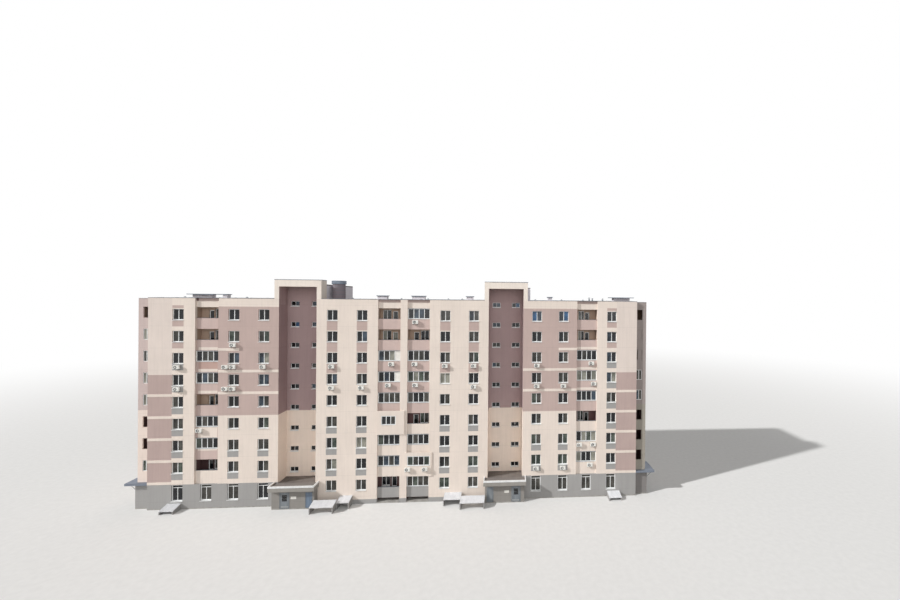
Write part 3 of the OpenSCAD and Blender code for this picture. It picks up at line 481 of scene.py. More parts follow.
def asTemplate(name, mesh):
    data = bpy.data.meshes.new(name)
    bmesh.ops.recalc_face_normals(mesh, faces=mesh.faces)
    mesh.to_mesh(data)
    mesh.free()
    return data


def addCopy(mesh, template, place):
    copy = template.copy()
    copy.transform(place)
    mesh.from_mesh(copy)
    bpy.data.meshes.remove(copy)


def makePiece(name, mesh, keys, body="building", replaced=()):
    data = bpy.data.meshes.new(name)
    mesh.normal_update()
    mesh.to_mesh(data)
    mesh.free()
    for key in keys.split():
        data.materials.append(finishes[key])
    piece = bpy.data.objects.new(name, data)
    bpy.context.scene.collection.objects.link(piece)
    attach(piece, body)
    if replaced:
        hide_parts(*replaced)


def solidBoxes(nodeName):
    # lowest and highest corner of every solid of a CAD node, from a merged copy of its mesh
    copy = bmesh.new()
    copy.from_mesh(nodes[nodeName].data)
    bmesh.ops.remove_doubles(copy, verts=copy.verts, dist=1e-5)
    copy.verts.index_update()
    seen, boxes = set(), []
    for start in copy.verts:
        if start.index in seen:
            continue
        seen.add(start.index)
        queue, low, high = [start], start.co.copy(), start.co.copy()
        while queue:
            vert = queue.pop()
            low = Vector(map(min, low, vert.co))
            high = Vector(map(max, high, vert.co))
            for edge in vert.link_edges:
                other = edge.other_vert(vert)
                if other.index not in seen:
                    seen.add(other.index)
                    queue.append(other)
        boxes.append((low, high))
    copy.free()
    return sorted(boxes, key=lambda b: (round(b[0].x, 3), round(b[0].y, 3), round(b[0].z, 3)))


lie = Matrix.Rotation(math.pi / 2, 4, "X")  # turns an upright cylinder to run into the block

# Windows: an outer frame, sashes, posts between them and sheet sills outside
windowKit = {"depth": 0.036, "sashDepth": 0.026, "pane": 0.008, "paneInset": 0.014, "sillDrop": 0.010,
    "sillThick": 0.006, "drip": 0.032, "sillWider": 0.03, "frontOut": 0.032, "rearOut": 0.010,
    "doorPanel": 0.36, "tallLight": 0.17, "stairUnder": 0.5, "tallOver": 1.05, "doorUnder": 0.5}
windowKinds = {
    "pair": {"frame": 0.020, "sash": 0.016, "post": 0.040, "count": 2},
    "stair": {"frame": 0.018, "sash": 0.012, "post": 0.012, "count": 2},
    "tall": {"frame": 0.030, "sash": 0.020, "post": 0.016, "count": 2},
    "door": {"frame": 0.028, "sash": 0.020, "post": 0.016, "count": 1},
    "three": {"frame": 0.034, "sash": 0.018, "post": 0.044, "count": 3},
    "four": {"frame": 0.034, "sash": 0.018, "post": 0.044, "count": 4},
}


def splitWindow(width, height, kind):
    # the lights of a window as (x0, x1, z0, z1) about its middle, inside the outer frame
    kit = windowKinds[kind]
    x0, x1 = -width / 2 + kit["frame"], width / 2 - kit["frame"]
    z0, z1 = -height / 2 + kit["frame"], height / 2 - kit["frame"]
    if kind == "tall":
        split = z1 - windowKit["tallLight"]
        return [(x0, 0, z0, split), (0, x1, z0, split), (x0, x1, split, z1)]
    if kind == "door":
        return [(x0, x1, z0 + windowKit["doorPanel"], z1)]
    step = (x1 - x0) / kit["count"]
    return [(x0 + i * step, x0 + (i + 1) * step, z0, z1) for i in range(kit["count"])]


def windowTemplate(width, height, kind):
    kit = windowKinds[kind]
    mesh = bmesh.new()
    depth, sashDepth = windowKit["depth"] / 2, windowKit["sashDepth"] / 2
    ring(mesh, -width / 2, width / 2, -height / 2, height / 2, -depth, depth, kit["frame"])
    lights = splitWindow(width, height, kind)
    for x0, x1, z0, z1 in lights:
        ring(mesh, x0, x1, z0, z1, -sashDepth, sashDepth, kit["sash"])
        if x0 > -width / 2 + kit["frame"] + 0.01:
            bar(mesh, x0 - kit["post"] / 2, x0 + kit["post"] / 2, -depth, depth, z0, z1)
    if kind == "door":  # the solid panel below the light, with its raised field
        x0, x1, z1, low = lights[0][0], lights[0][1], lights[0][2], -height / 2 + kit["frame"]
        field = (x0 + 0.04, x1 - 0.04, -sashDepth - 0.006, -sashDepth, low + 0.05, z1 - 0.05)
        bar(mesh, x0, x1, -sashDepth, sashDepth, low, z1)
        bar(mesh, *field)
    return asTemplate("window", mesh)


def sillTemplate(width, out):
    # a folded sheet that falls outwards from the frame and ends in a drip
    mesh = bmesh.new()
    y0, y1 = -glassIn - out, -windowKit["depth"] / 2
    drop = windowKit["sillDrop"]
    sheet = bar(mesh, -width / 2, width / 2, y0, y1, 0.0, windowKit["sillThick"])
    bmesh.ops.translate(mesh, verts=[v for v in sheet if v.co.y < (y0 + y1) / 2], vec=(0, 0, -drop))
    half = (width + windowKit["sillWider"]) / 2
    bar(mesh, -half, half, y0, y0 + windowKit["sillThick"], -drop - windowKit["drip"], 0.0)
    return asTemplate("sill", mesh)


# The kinds of pane, by the letters below: name of the piece and finish
paneKinds = {"d": ("dark", "darkGlass"), "m": ("shaded", "midGlass"), "c": ("curtained", "paleGlass"),
    "g": ("green", "greenGlass"), "b": ("blue", "blueGlass"), "s": ("sky", "skyGlass"),
    "w": ("boarded", "board")}
paneMeshes = {key: bmesh.new() for key in paneKinds}
templates = {}


def addPanes(place, lights, kinds):
    half, inset = windowKit["pane"] / 2, windowKit["paneInset"]
    for (x0, x1, z0, z1), kind in zip(lights, kinds):
        verts = bar(paneMeshes[kind], x0 + inset, x1 - inset, -half, half, z0 + inset, z1 - inset)
        bmesh.ops.transform(paneMeshes[kind], matrix=place, verts=verts)


def addWindow(frames, place, width, height, kind, panes):
    key = (width, height, kind)
    if key not in templates:
        templates[key] = windowTemplate(*key)
    addCopy(frames, templates[key], place)
    addPanes(place, splitWindow(*key), panes)


def facing(low, high):
    # the turn that points a window's outer side away from the block
    if high.x - low.x < high.y - low.y:
        return math.pi / 2 if low.x > 0 else -math.pi / 2
    return math.pi if low.y > 0 else 0.0


# What shows behind the panes of the front windows from the ground storey up, for each place in
# columnX on the left and on the right
frontPanes = (("mm dd cc dd dd md dd db dd", "gg dm dd dd dm cc dm dd mm"),
    ("mm mc dg mm dd db dd dd dd", "mm gg dd md dd dd mg mm bm"),
    ("dd dm mm dg bm bb bc mg dd", "mm gg gm dm gm dm mm dd sb"),
    ("mm dm mm md dd dd db gm dd", "mm gg mg dm dd mm dm dm bs"),
    ("dd mg dm mm md dd dd md dd", "mm dd dg dd mm bc bd bd dd"))
# The stair windows, by their place along the front and storey
stairPanes = {(-8, 9): "db", (-8, 8): "ds", (-7, 9): "bb", (-7, 8): "bb", (-7, 6): "mb", (-7, 5): "bb",
    (8, 9): "ds", (7, 9): "bb", (7, 8): "bb", (7, 7): "mm", (7, 6): "bm"}
elsePanes = ["dd"] * 5 + ["dm", "md", "mm", "gm", "cd"]


def panesFor(middle, kind, turn):
    storey = int(middle.z / storeyH)
    if kind == "stair":
        return stairPanes.get((round(middle.x), storey), "dd")
    if turn == 0.0 and middle.y < frontY + 0.2:
        for x, columns in zip(columnX, frontPanes):
            if abs(x - abs(middle.x)) < halfColumn:
                return columns[middle.x > 0].split()[storey]
        return "mm"
    return dice.choice(elsePanes)


frontFrames, rearFrames, sills = bmesh.new(), bmesh.new(), bmesh.new()
for low, high in solidBoxes("window_glass"):
    size, turn = high - low, facing(low, high)
    width, height = round(max(size.x, size.y), 4), round(size.z, 4)
    kind = "stair" if height < windowKit["stairUnder"] else "pair"
    if height > windowKit["tallOver"]:
        kind = "door" if width < windowKit["doorUnder"] else "tall"
    panes = panesFor((low + high) / 2, kind, turn)
    panes += panes[0]  # a tall window has a third light on top
    place = Matrix.Translation((low + high) / 2) @ Matrix.Rotation(turn, 4, "Z")
    addWindow(frontFrames if turn == 0.0 else rearFrames, place, width, height, kind, panes)
    if kind != "door":
        out = windowKit["rearOut"] if turn == math.pi else windowKit["frontOut"]
        if (width, out) not in templates:
            templates[(width, out)] = sillTemplate(width, out)
        addCopy(sills, templates[(width, out)], place @ Matrix.Translation((0, 0, -height / 2)))

# Glazed loggias: four lights each, from left to right, by stack and storey from the ground
screens = {
    "leftOuter": {2: "gmmd", 3: "dmdd", 5: "dbmd", 6: "dmmd"},
    "leftMiddle": {1: "dbmb", 2: "gddd", 4: "dmmm", 5: "dbdw", 6: "bmcw"},
    "rightMiddle": {0: "mgmm", 2: "dmdd", 4: "mddm", 5: "gcgm", 6: "dmmd", 8: "dbbd"},
    "rightOuter": {1: "cddc", 2: "dcgc", 4: "dddb", 5: "ccmc", 6: "dmdd"},
}
visors = bmesh.new()
visorKit = {"out": 0.05, "over": 0.02, "thick": 0.006, "lip": 0.014}
ledgeKit = {"out": 0.05, "in": 0.02, "thick": 0.012}  # the sill under a loggia's glazing
screenFrames = bmesh.new()
for low, high in solidBoxes("loggia_glazing"):
    size, middle = high - low, (low + high) / 2
    stack = ("left" if middle.x < 0 else "right") + ("Outer" if abs(middle.x) > 5 else "Middle")
    storey = round((low.z - level(0, railUp)) / storeyH)
    if middle.y < frontY:  # an enclosed balcony in front of the wall
        kind, panes = ("four", "gmdg") if size.x > 1.2 else ("three", "ddm")
    else:
        kind, panes = "four", screens[stack].get(storey, "dddd")
        x0, x1 = low.x - visorKit["over"], high.x + visorKit["over"]  # a sheet visor over the screen
        y0, y1, z = low.y - visorKit["out"], low.y + 0.01, high.z - visorKit["thick"]
        bar(visors, x0, x1, y0, y1, z, high.z)
        bar(visors, x0, x1, y0 - visorKit["thick"], y0, z - visorKit["lip"], high.z)
    addWindow(screenFrames, Matrix.Translation(middle), round(size.x, 4), round(size.z, 4), kind, panes)
    bar(sills, low.x, high.x, low.y - ledgeKit["out"], low.y + ledgeKit["in"],
        low.z - ledgeKit["thick"], low.z)

# Some openings of the end loggias are glazed, by side of the block and storey
endGlazing = {(-1, 1): "gm", (-1, 4): "cc", (-1, 5): "cg", (-1, 6): "mg", (-1, 7): "cc", (1, 4): "bm",
    (1, 5): "mm"}
endKit = {"x": halfLen + 0.2575, "y": endLoggiaY + 0.045, "width": 0.455, "height": 0.75, "sheet": 0.01}
for (side, n), panes in endGlazing.items():
    middle = (side * endKit["x"], endKit["y"], level(n, railUp + endKit["height"] / 2))
    addWindow(screenFrames, Matrix.Translation(middle), endKit["width"], endKit["height"], "pair", panes)
# two openings on the right are closed by sheets in the colour of the wall: storey and share of the width
endSheets = bmesh.new()
for n, share in ((6, 0.72), (7, 1.0)):
    x1, y, half = endKit["x"] + endKit["width"] / 2, endKit["y"], endKit["sheet"]
    x0, z0 = x1 - endKit["width"] * share, level(n, railUp)
    bar(endSheets, x0, x1, y - half, y + half, z0, z0 + endKit["height"])
makePiece("end_opening_sheets", endSheets, "endStack")
makePiece("window_frames_front", frontFrames, "pvc")
makePiece("window_frames_rear", rearFrames, "pvc")
makePiece("window_sills", sills, "whiteSheet")
makePiece("loggia_screen_frames", screenFrames, "pvc")
makePiece("loggia_visors", visors, "zinc")
for key, (name, finish) in paneKinds.items():
    makePiece("panes_" + name, paneMeshes[key], finish,
        replaced=("window_glass", "loggia_glazing") if key == "d" else ())
print("windows and loggias glazed with", len(templates), "shapes")

# Relief on the front: flat bands of render between the windows
kit = {"proud": 0.014, "sunk": 0.004, "edge": 0.004, "endX": 14.709, "loggiaX": 12.46}
bands = []  # side, x0, x1, z0, z1
for side in (-1, 1):
    for n in range(5):
        bands.append((side, kit["endX"], halfLen, level(n, endBandFrom), level(n, endBandTo)))
    for z0, x0 in zip(bandRows, (recessX[1], recessX[1], columnX[3] - halfColumn)):
        bands.append((side, x0, kit["loggiaX"], z0, z0 + bandHigh))
ledges = bmesh.new()
for side, x0, x1, z0, z1 in bands:
    a, b = sorted((side * x0, side * x1))
    slab = bar(ledges, a, b, frontY - kit["proud"], frontY + kit["sunk"], z0, z1)
    edges = [e for e in edgesOf(slab) if all(v.co.y < frontY for v in e.verts)
        and abs(e.verts[0].co.x - e.verts[1].co.x) > 0.1]
    roundEdges(ledges, edges, kit["edge"], 1)
makePiece("facade_bands", ledges, "cream")

# The plinth, between the porches and beside them
kit = {"out": 0.012, "sunk": 0.004, "spans": ((-5.84, -1.8), (-0.245, 0.245), (1.8, 5.84))}
plinth = bmesh.new()
for x0, x1 in kit["spans"]:
    bar(plinth, x0, x1, frontY - kit["out"], frontY + kit["sunk"], 0.0, plinthTop)
makePiece("front_plinth", plinth, "greyStorey")

# Sheet flashings on the parapets
kit = {"lap": 0.012, "thick": 0.010, "down": 0.035, "portalOut": 0.31}
flashings = bmesh.new()
for low, high in solidBoxes("loggia_parapets"):
    if high.z < roofZ:
        bar(flashings, low.x, high.x, low.y - kit["lap"], high.y + kit["lap"], high.z - 0.002,
            high.z + kit["thick"])
# the portals and the tops of the end loggias are capped too
low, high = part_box("portal_beams")
low2, high2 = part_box("end_loggia_fronts")
out, down = kit["lap"], kit["down"]
for side in (-1, 1):
    x0, x1 = sorted((side * (recessX[0] - kit["portalOut"]), side * (recessX[1] + kit["portalOut"])))
    bar(flashings, x0 - out, x1 + out, low.y - out, low.y, high.z - down, high.z)
    bar(flashings, x0 - out, x0, low.y, high.y, high.z - down, high.z)
    bar(flashings, x1, x1 + out, low.y, high.y, high.z - down, high.z)
    x0, x1 = sorted((side * halfLen, side * (endX + out)))
    bar(flashings, x0, x1, low2.y - out, high2.y, high2.z, high2.z + kit["thick"])
    x0, x1 = sorted((side * (sideWallX - out), side * (endX + out)))
    bar(flashings, x0, x1, high2.y, high2.y + endLoggiaDeep, high2.z, high2.z + kit["thick"])
makePiece("parapet_flashings", flashings, "zinc")

# Cooling units: a rounded casing with a fan grille and louvres, two brackets and sleeved lines
unitKit = {"width": 0.40, "depth": 0.14, "height": 0.27, "gap": 0.03, "round": 0.009, "foot": 0.012,
    "fanX": -0.055, "fanR": 0.105, "rings": (0.03, 0.055, 0.08, 0.105), "wire": 0.004, "spokes": 8,
    "louvres": 7, "louvrePitch": 0.026, "bracketX": 0.128, "linesX": 0.16}


def unitTemplate():
    kit = unitKit
    mesh = bmesh.new()
    front, back, h = -kit["gap"] - kit["depth"], -kit["gap"], kit["height"]
    casing = bar(mesh, -kit["width"] / 2, kit["width"] / 2, front + 0.004, back, kit["foot"], h)
    roundEdges(mesh, edgesOf(casing), kit["round"], 2)
    centre = Vector((kit["fanX"], front + 0.003, (kit["foot"] + h) / 2))
    disc(mesh, centre, kit["fanR"] + 0.004, 0.004, 28, 1, lie)
    disc(mesh, centre - Vector((0, 0.002, 0)), 0.026, 0.005, 16, 0, lie)
    for radius in kit["rings"]:
        hoop(mesh, centre - Vector((0, 0.003, 0)), radius, kit["wire"], 24)
    for i in range(kit["spokes"]):
        spoke = bar(mesh, 0.02, kit["fanR"], -0.002, 0.002, -0.002, 0.002)
        bmesh.ops.transform(mesh, verts=spoke, matrix=Matrix.Translation(centre - Vector((0, 0.002, 0)))
            @ Matrix.Rotation(i * math.tau / kit["spokes"], 4, "Y"))
    for i in range(kit["louvres"]):  # on the service side
        z = 0.06 + i * kit["louvrePitch"]
        bar(mesh, 0.085, 0.175, front + 0.001, front + 0.005, z, z + 0.007)
    for x in (-kit["bracketX"], kit["bracketX"]):
        bar(mesh, x - 0.012, x + 0.012, front + 0.01, back, 0.0, 0.013, 1)
        bar(mesh, x - 0.010, x + 0.010, front + 0.02, 0.0, -0.014, 0.0, 2)
        bar(mesh, x - 0.010, x + 0.010, -0.004, 0.0, -0.10, 0.0, 2)
        rod(mesh, (x, front + 0.03, -0.012), (x, -0.004, -0.09), 0.006, 8, 2)
    for z in (0.05, 0.078):  # the two sleeved lines into the wall
        disc(mesh, (kit["linesX"], -kit["gap"] / 2, z), 0.009, kit["gap"], 10, 3, lie)
    return asTemplate("unit", mesh)


unitShape = unitTemplate()
units = bmesh.new()
for low, high in solidBoxes("cooling_units"):
    if high.x - low.x > 0.2:  # the others are brackets
        wallY = low.y + unitKit["depth"] + unitKit["gap"]
        addCopy(units, unitShape, Matrix.Translation(((low.x + high.x) / 2, wallY, low.z)))
makePiece("cooling_units_detailed", units, "enamel abs zinc foam",
    replaced=("cooling_units",))
print("cooling units hung")

# Sloped awnings of profiled sheet on purlins, with flashings along the edges
kit = {"thick": 0.045, "pitch": 0.072, "rib": 0.013, "gauge": 0.003, "purlins": (0.04, 0.5, 0.96),
    "purlinHalf": 0.012, "purlinHigh": 0.021, "edge": 0.004}
awnings = bmesh.new()
for low, high in solidBoxes("awning_roofs"):
    run, rise = high.y - low.y, (high.z - low.z) - kit["thick"]
    count = max(6, round((high.x - low.x) / kit["pitch"]))
    verts = bmesh.ops.create_grid(awnings, x_segments=4 * count, y_segments=2, size=0.5)["verts"]
    ribs = [v for v in verts if round((v.co.x + 0.5) * 4 * count) % 4 in (1, 2)]
    bmesh.ops.scale(awnings, verts=verts, vec=(high.x - low.x, run, 1.0))
    bmesh.ops.translate(awnings, verts=ribs, vec=(0, 0, kit["rib"]))
    tilt = Matrix.Identity(4)
    tilt[2][1] = rise / run  # each point rises with its depth, so the plan size stays
    base = (low + high) / 2
    bmesh.ops.transform(awnings, verts=verts, matrix=Matrix.Translation(base) @ tilt)
    bmesh.ops.solidify(awnings, geom=facesOf(verts), thickness=kit["gauge"])
    for share in kit["purlins"]:
        y, z = low.y + share * run, low.z + share * rise
        bar(awnings, low.x + 0.01, high.x - 0.01, y - kit["purlinHalf"], y + kit["purlinHalf"],
            z, z + kit["purlinHigh"], 1)
    bar(awnings, low.x, high.x, low.y, low.y + kit["edge"], low.z, low.z + 0.026)
    for x in (low.x, high.x - kit["edge"]):
        edge = bar(awnings, x, x + kit["edge"], -run / 2, run / 2, -0.022, 0.018)
        bmesh.ops.transform(awnings, verts=edge, matrix=Matrix.Translation((0, base.y, base.z)) @ tilt)
makePiece("awning_sheets", awnings, "sheet zinc", replaced=("awning_roofs",))
print("awnings sheeted")

# Doors: sheet frames, guard bars over the panes, pull handles and locks, on the turning leaves
doorKit = {"width": 0.6, "height": 1.05, "sillZ": 0.075, "pane": (0.56, 0.45, 0.88), "hingeGap": 0.03,
    "freeGap": 0.008, "rim": 0.022, "handleZ": 0.52, "handleLong": 0.17, "handleOut": 0.024,
    "handleIn": 0.035, "guardBars": 3}


def doorFittings(body, glazed, colour):
    kit = doorKit
    low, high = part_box(body)
    free = 1 if low.x < 0 else -1  # side of the free edge
    x0 = low.x + (kit["freeGap"] if free < 0 else kit["hingeGap"])
    x1 = high.x - (kit["freeGap"] if free > 0 else kit["hingeGap"])
    y = low.y
    mesh = bmesh.new()
    ring(mesh, x0, x1, low.z + 0.01, high.z - 0.01, y - 0.004, y + 0.001, kit["rim"])
    if glazed:
        share, down, up = kit["pane"]
        middle, half = (low.x + high.x) / 2, kit["width"] * share / 2
        px0, px1 = middle - half, middle + half
        pz0, pz1 = kit["sillZ"] + kit["height"] * down, kit["sillZ"] + kit["height"] * up
        ring(mesh, px0 - 0.012, px1 + 0.012, pz0 - 0.012, pz1 + 0.012, y - 0.005, y + 0.006, 0.02)
        bar(mesh, px0 + 0.004, px1 - 0.004, y + 0.003, y + 0.0075, pz0 + 0.004, pz1 - 0.004, 1)
        for k in range(kit["guardBars"]):  # across the pane
            z = pz0 + (k + 1) * (pz1 - pz0) / (kit["guardBars"] + 1)
            bar(mesh, px0 + 0.004, px1 - 0.004, y - 0.001, y + 0.003, z - 0.003, z + 0.003, 2)
        bar(mesh, x0 + 0.03, x1 - 0.03, y - 0.003, y + 0.001, low.z + 0.04, low.z + 0.15, 2)
    else:
        for z0, z1 in ((low.z + 0.08, low.z + 0.46), (low.z + 0.52, high.z - 0.08)):
            ring(mesh, x0 + 0.05, x1 - 0.05, z0, z1, y - 0.003, y + 0.001, 0.012)
    edgeX = x1 - kit["handleIn"] if free > 0 else x0 + kit["handleIn"]
    z = low.z + kit["handleZ"]
    disc(mesh, (edgeX, y - kit["handleOut"], z), 0.006, kit["handleLong"], 12, 2)
    for dz in (-0.06, 0.06):
        disc(mesh, (edgeX, y - kit["handleOut"] / 2, z + dz), 0.005, kit["handleOut"], 10, 2, lie)
    disc(mesh, (edgeX, y - 0.003, z - 0.12), 0.011, 0.006, 16, 2, lie)  # the lock
    makePiece(body + "_fittings", mesh, colour + "Door darkGlass steel", body)


# each leaf: whether it has a pane, and its colour
leaves = {"entrance_door_left": (True, "grey"), "entrance_door_right": (True, "grey"),
    "bin_door_left": (False, "blue"), "bin_door_right": (False, "grey")}
for body, leaf in leaves.items():
    doorFittings(body, *leaf)

# Frames and steps of the doorways, and two bare plates screwed beside them
kit = {"wide": 0.03, "out": 0.008, "sunk": 0.004, "gap": 0.006}
surrounds, plates = bmesh.new(), bmesh.new()
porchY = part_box("porch_beams")[0].y
for body in leaves:
    low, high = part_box(body)
    wide, y0, y1 = kit["wide"], porchY - kit["out"], porchY + kit["sunk"]
    x0, x1, head = low.x - kit["gap"], high.x + kit["gap"], high.z + kit["gap"]
    bar(surrounds, x0 - wide, x0 - 0.001, y0, y1, 0.076, head + wide)
    bar(surrounds, x1 + 0.001, x1 + wide, y0, y1, 0.076, head + wide)
    bar(surrounds, x0 - 0.001, x1 + 0.001, y0, y1, head + 0.001, head + wide)
    bar(surrounds, x0 - wide, x1 + wide, porchY - 0.012, porchY + 0.002, 0.058, 0.0735)  # the step
makePiece("door_surrounds", surrounds, "greyDoor")
kit = {"places": ((-7.21, 0.36), (7.385, 0.33)), "z": (0.70, 0.88), "thick": 0.008, "round": 0.01,
    "screwIn": 0.016}
for middle, width in kit["places"]:
    (z0, z1), plateY = kit["z"], porchY - kit["thick"]
    plate = bar(plates, middle - width / 2, middle + width / 2, plateY, porchY + 0.001, z0, z1)
    corners = [e for e in edgesOf(plate) if abs(e.verts[0].co.y - e.verts[1].co.y) > 0.005]
    roundEdges(plates, corners, kit["round"], 3)
    for dx in (kit["screwIn"] - width / 2, width / 2 - kit["screwIn"]):
        for z in (z0 + kit["screwIn"], z1 - kit["screwIn"]):
            disc(plates, (middle + dx, plateY - 0.001, z), 0.005, 0.003, 10, 1, lie)
makePiece("bare_plates", plates, "board steel")
print("doors fitted")

# White sheet over the raised rims of the porch canopies
kit = {"innerX": 5.74, "wide": 0.068, "lap": 0.10, "thick": 0.004, "lift": 0.006}
rims = bmesh.new()
low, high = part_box("porch_canopies")
for x0, x1 in ((low.x, -kit["innerX"]), (kit["innerX"], high.x)):
    z, front, back, wide = high.z, low.y, frontY, kit["wide"]
    foot, thick, lift = z - kit["lap"], kit["thick"], z + kit["lift"]
    bar(rims, x0, x1, front, front + wide, z - 0.001, lift)
    bar(rims, x0, x0 + wide, front + wide, back, z - 0.001, lift)
    bar(rims, x1 - wide, x1, front + wide, back, z - 0.001, lift)
    bar(rims, x0, x1, front - thick, front, foot, lift)
    bar(rims, x0 - thick, x0, front, back, foot, lift)
    bar(rims, x1, x1 + thick, front, back, foot, lift)
    bar(rims, x0, x1, front - 0.010, front - thick, foot - 0.005, foot + 0.004)
makePiece("canopy_rims", rims, "whiteSheet")

# Tubes that hold the end canopies: struts from the wall below and, on the right, ties from above
kit = {"depths": (0.32, 0.95, 1.58), "radius": 0.014, "low": 1.22, "reach": 0.46, "tieHigh": 2.42}
struts = bmesh.new()
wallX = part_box("end_ground_walls")[1].x
canopyLow, canopyHigh = (corner.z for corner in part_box("end_canopies"))
for side in (-1, 1):
    for depth in kit["depths"]:
        y, tip, radius = frontY + depth, side * (wallX + kit["reach"]), kit["radius"]
        rod(struts, (side * wallX, y, kit["low"]), (tip, y, canopyLow), radius, 12)
        disc(struts, (tip, y, canopyLow - 0.004), 0.03, 0.008, 12)
        if side > 0:
            rod(struts, (endX, y, kit["tieHigh"]), (tip, y, canopyHigh), radius / 2, 8)
makePiece("canopy_struts", struts, "zinc")

# Standing seams along the metal coping
kit = {"half": 0.006, "down": 0.024, "up": 0.010, "pitch": 1.25, "inner": 0.217, "outer": 0.0145,
    "frontOut": 0.017, "gap": (5.6, 8.9)}  # no coping under the portals
seams = bmesh.new()
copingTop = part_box("coping")[1].z
z0, z1, half = copingTop - kit["down"], copingTop + kit["up"], kit["half"]
inner, outer = kit["inner"], kit["outer"]
x = -halfLen + 0.6
while x < halfLen - 0.3:
    if not kit["gap"][0] < abs(x) < kit["gap"][1]:
        bar(seams, x - half, x + half, frontY - kit["frontOut"], frontY + inner, z0, z1)
    bar(seams, x - half, x + half, backY - inner, backY + outer, z0, z1)
    x += kit["pitch"]
for side in (-1, 1):
    for k in range(4):
        y = frontY + 1.0 + kit["pitch"] * k
        a, b = sorted((side * (halfLen - inner), side * (halfLen + outer)))
        bar(seams, a, b, y - half, y + half, z0, z1)
makePiece("coping_seams", seams, "zinc")

# Soil pipes through the roof with flashings and cowls on three stays: places, by height
pipeSpots = {0.44: ((-16.2, -0.9), (-12.2, -0.4), (-10.8, 0.9), (-4.2, -1.2), (-0.9, -0.2), (1.4, -1.6),
    (2.6, 0.5), (3.9, -1.4), (9.6, 0.4), (11.6, -0.7), (13.2, -1.3), (16.1, 0.2)),
    0.60: ((13.42, -2.6),), 0.56: ((13.66, -2.6),), 0.54: ((14.44, -2.6),)}
kit = {"radius": 0.05, "collar": 0.085, "cowl": 0.10, "cowlHigh": 0.06, "gap": 0.035, "stay": 0.046}
gear = bmesh.new()
for tall, px, py in [(tall, *spot) for tall, spots in pipeSpots.items() for spot in spots]:
    disc(gear, (px, py, roofZ + tall / 2), kit["radius"], tall, 16)
    disc(gear, (px, py, roofZ + 0.02), kit["collar"], 0.04, 16, 1)
    cowlZ = roofZ + tall + kit["gap"] + kit["cowlHigh"] / 2
    disc(gear, (px, py, cowlZ), kit["cowl"], kit["cowlHigh"], 16, 0, None, 0.012)
    for k in range(3):
        turn = k * math.tau / 3
        sx, sy = px + kit["stay"] * math.cos(turn), py + kit["stay"] * math.sin(turn)
        rod(gear, (sx, sy, roofZ + tall - 0.02), (sx, sy, roofZ + tall + 0.05), 0.004, 6)
makePiece("roof_pipes", gear, "zinc felt")

# The drum beside the left portal: hoops round its shell and a coated sheet cover over its cap
kit = {"x": -5.12, "y": -1.4, "r": 0.44, "capLow": 15.55, "capTop": 15.79, "capR": 0.49, "hoops": 5}
drum = bmesh.new()
for k in range(kit["hoops"]):
    z = roofZ + 0.15 + k * (kit["capLow"] - roofZ) / kit["hoops"]
    disc(drum, (kit["x"], kit["y"], z), kit["r"] + 0.012, 0.02, 40)
coverHigh = kit["capTop"] - kit["capLow"] + 0.006
disc(drum, (kit["x"], kit["y"], kit["capLow"] + coverHigh / 2), kit["capR"] + 0.006, coverHigh, 40, 1)
for z in (kit["capLow"] + 0.03, kit["capLow"] + 0.2):
    disc(drum, (kit["x"], kit["y"], z), kit["capR"] + 0.014, 0.05, 40, 2)
makePiece("roof_drum_sheets", drum, "zinc blueZinc capZinc")

# Steel doors, louvres and rung ladders of the machine rooms
kit = {"doors": (0.3, 0.72), "doorHalf": 0.24, "doorZ": (0.05, 1.05), "rim": 0.03, "louvres": 6,
    "louvreZ": 0.70, "louvrePitch": 0.045, "ladderIn": 0.25, "ladderHalf": 0.1, "ladderOut": 0.06,
    "rungPitch": 0.15}
rooms = bmesh.new()
for low, high in solidBoxes("machine_rooms"):
    z0, z1 = roofZ + kit["doorZ"][0], roofZ + kit["doorZ"][1]
    for share in kit["doors"]:
        x, half = low.x + share * (high.x - low.x), kit["doorHalf"]
        bar(rooms, x - half, x + half, high.y, high.y + 0.012, z0, z1)
        ring(rooms, x - half - kit["rim"], x + half + kit["rim"], z0 - kit["rim"], z1 + kit["rim"],
            high.y, high.y + 0.02, kit["rim"])
        for k in range(kit["louvres"]):
            z = roofZ + kit["louvreZ"] + k * kit["louvrePitch"]
            bar(rooms, x - 0.14, x + 0.14, high.y + 0.012, high.y + 0.02, z, z + 0.015, 1)
    x, tall, y = high.x - kit["ladderIn"], high.z - roofZ - 0.02, high.y + kit["ladderOut"]
    for dx in (-kit["ladderHalf"], kit["ladderHalf"]):
        disc(rooms, (x + dx, y, roofZ + tall / 2), 0.008, tall, 10, 1)
        for z in (roofZ + 0.2, roofZ + tall - 0.2):
            bar(rooms, x + dx - 0.006, x + dx + 0.006, high.y, y, z, z + 0.012, 1)
    for k in range(int(tall / kit["rungPitch"])):
        z = roofZ + 0.1 + k * kit["rungPitch"]
        bar(rooms, x - kit["ladderHalf"], x + kit["ladderHalf"], y - 0.005, y + 0.005, z, z + 0.010, 1)
makePiece("machine_room_fittings", rooms, "greyDoor zinc")
print("roof fitted")

# The camera stands where the photo was taken from
cameraKit = {"place": (7.24, -32.135, 14.575), "turn": -0.0792, "tilt": -0.0023, "roll": 0.0087,
    "lens": 16.0, "shiftX": -0.0978, "sensor": 36.0, "far": 900.0}


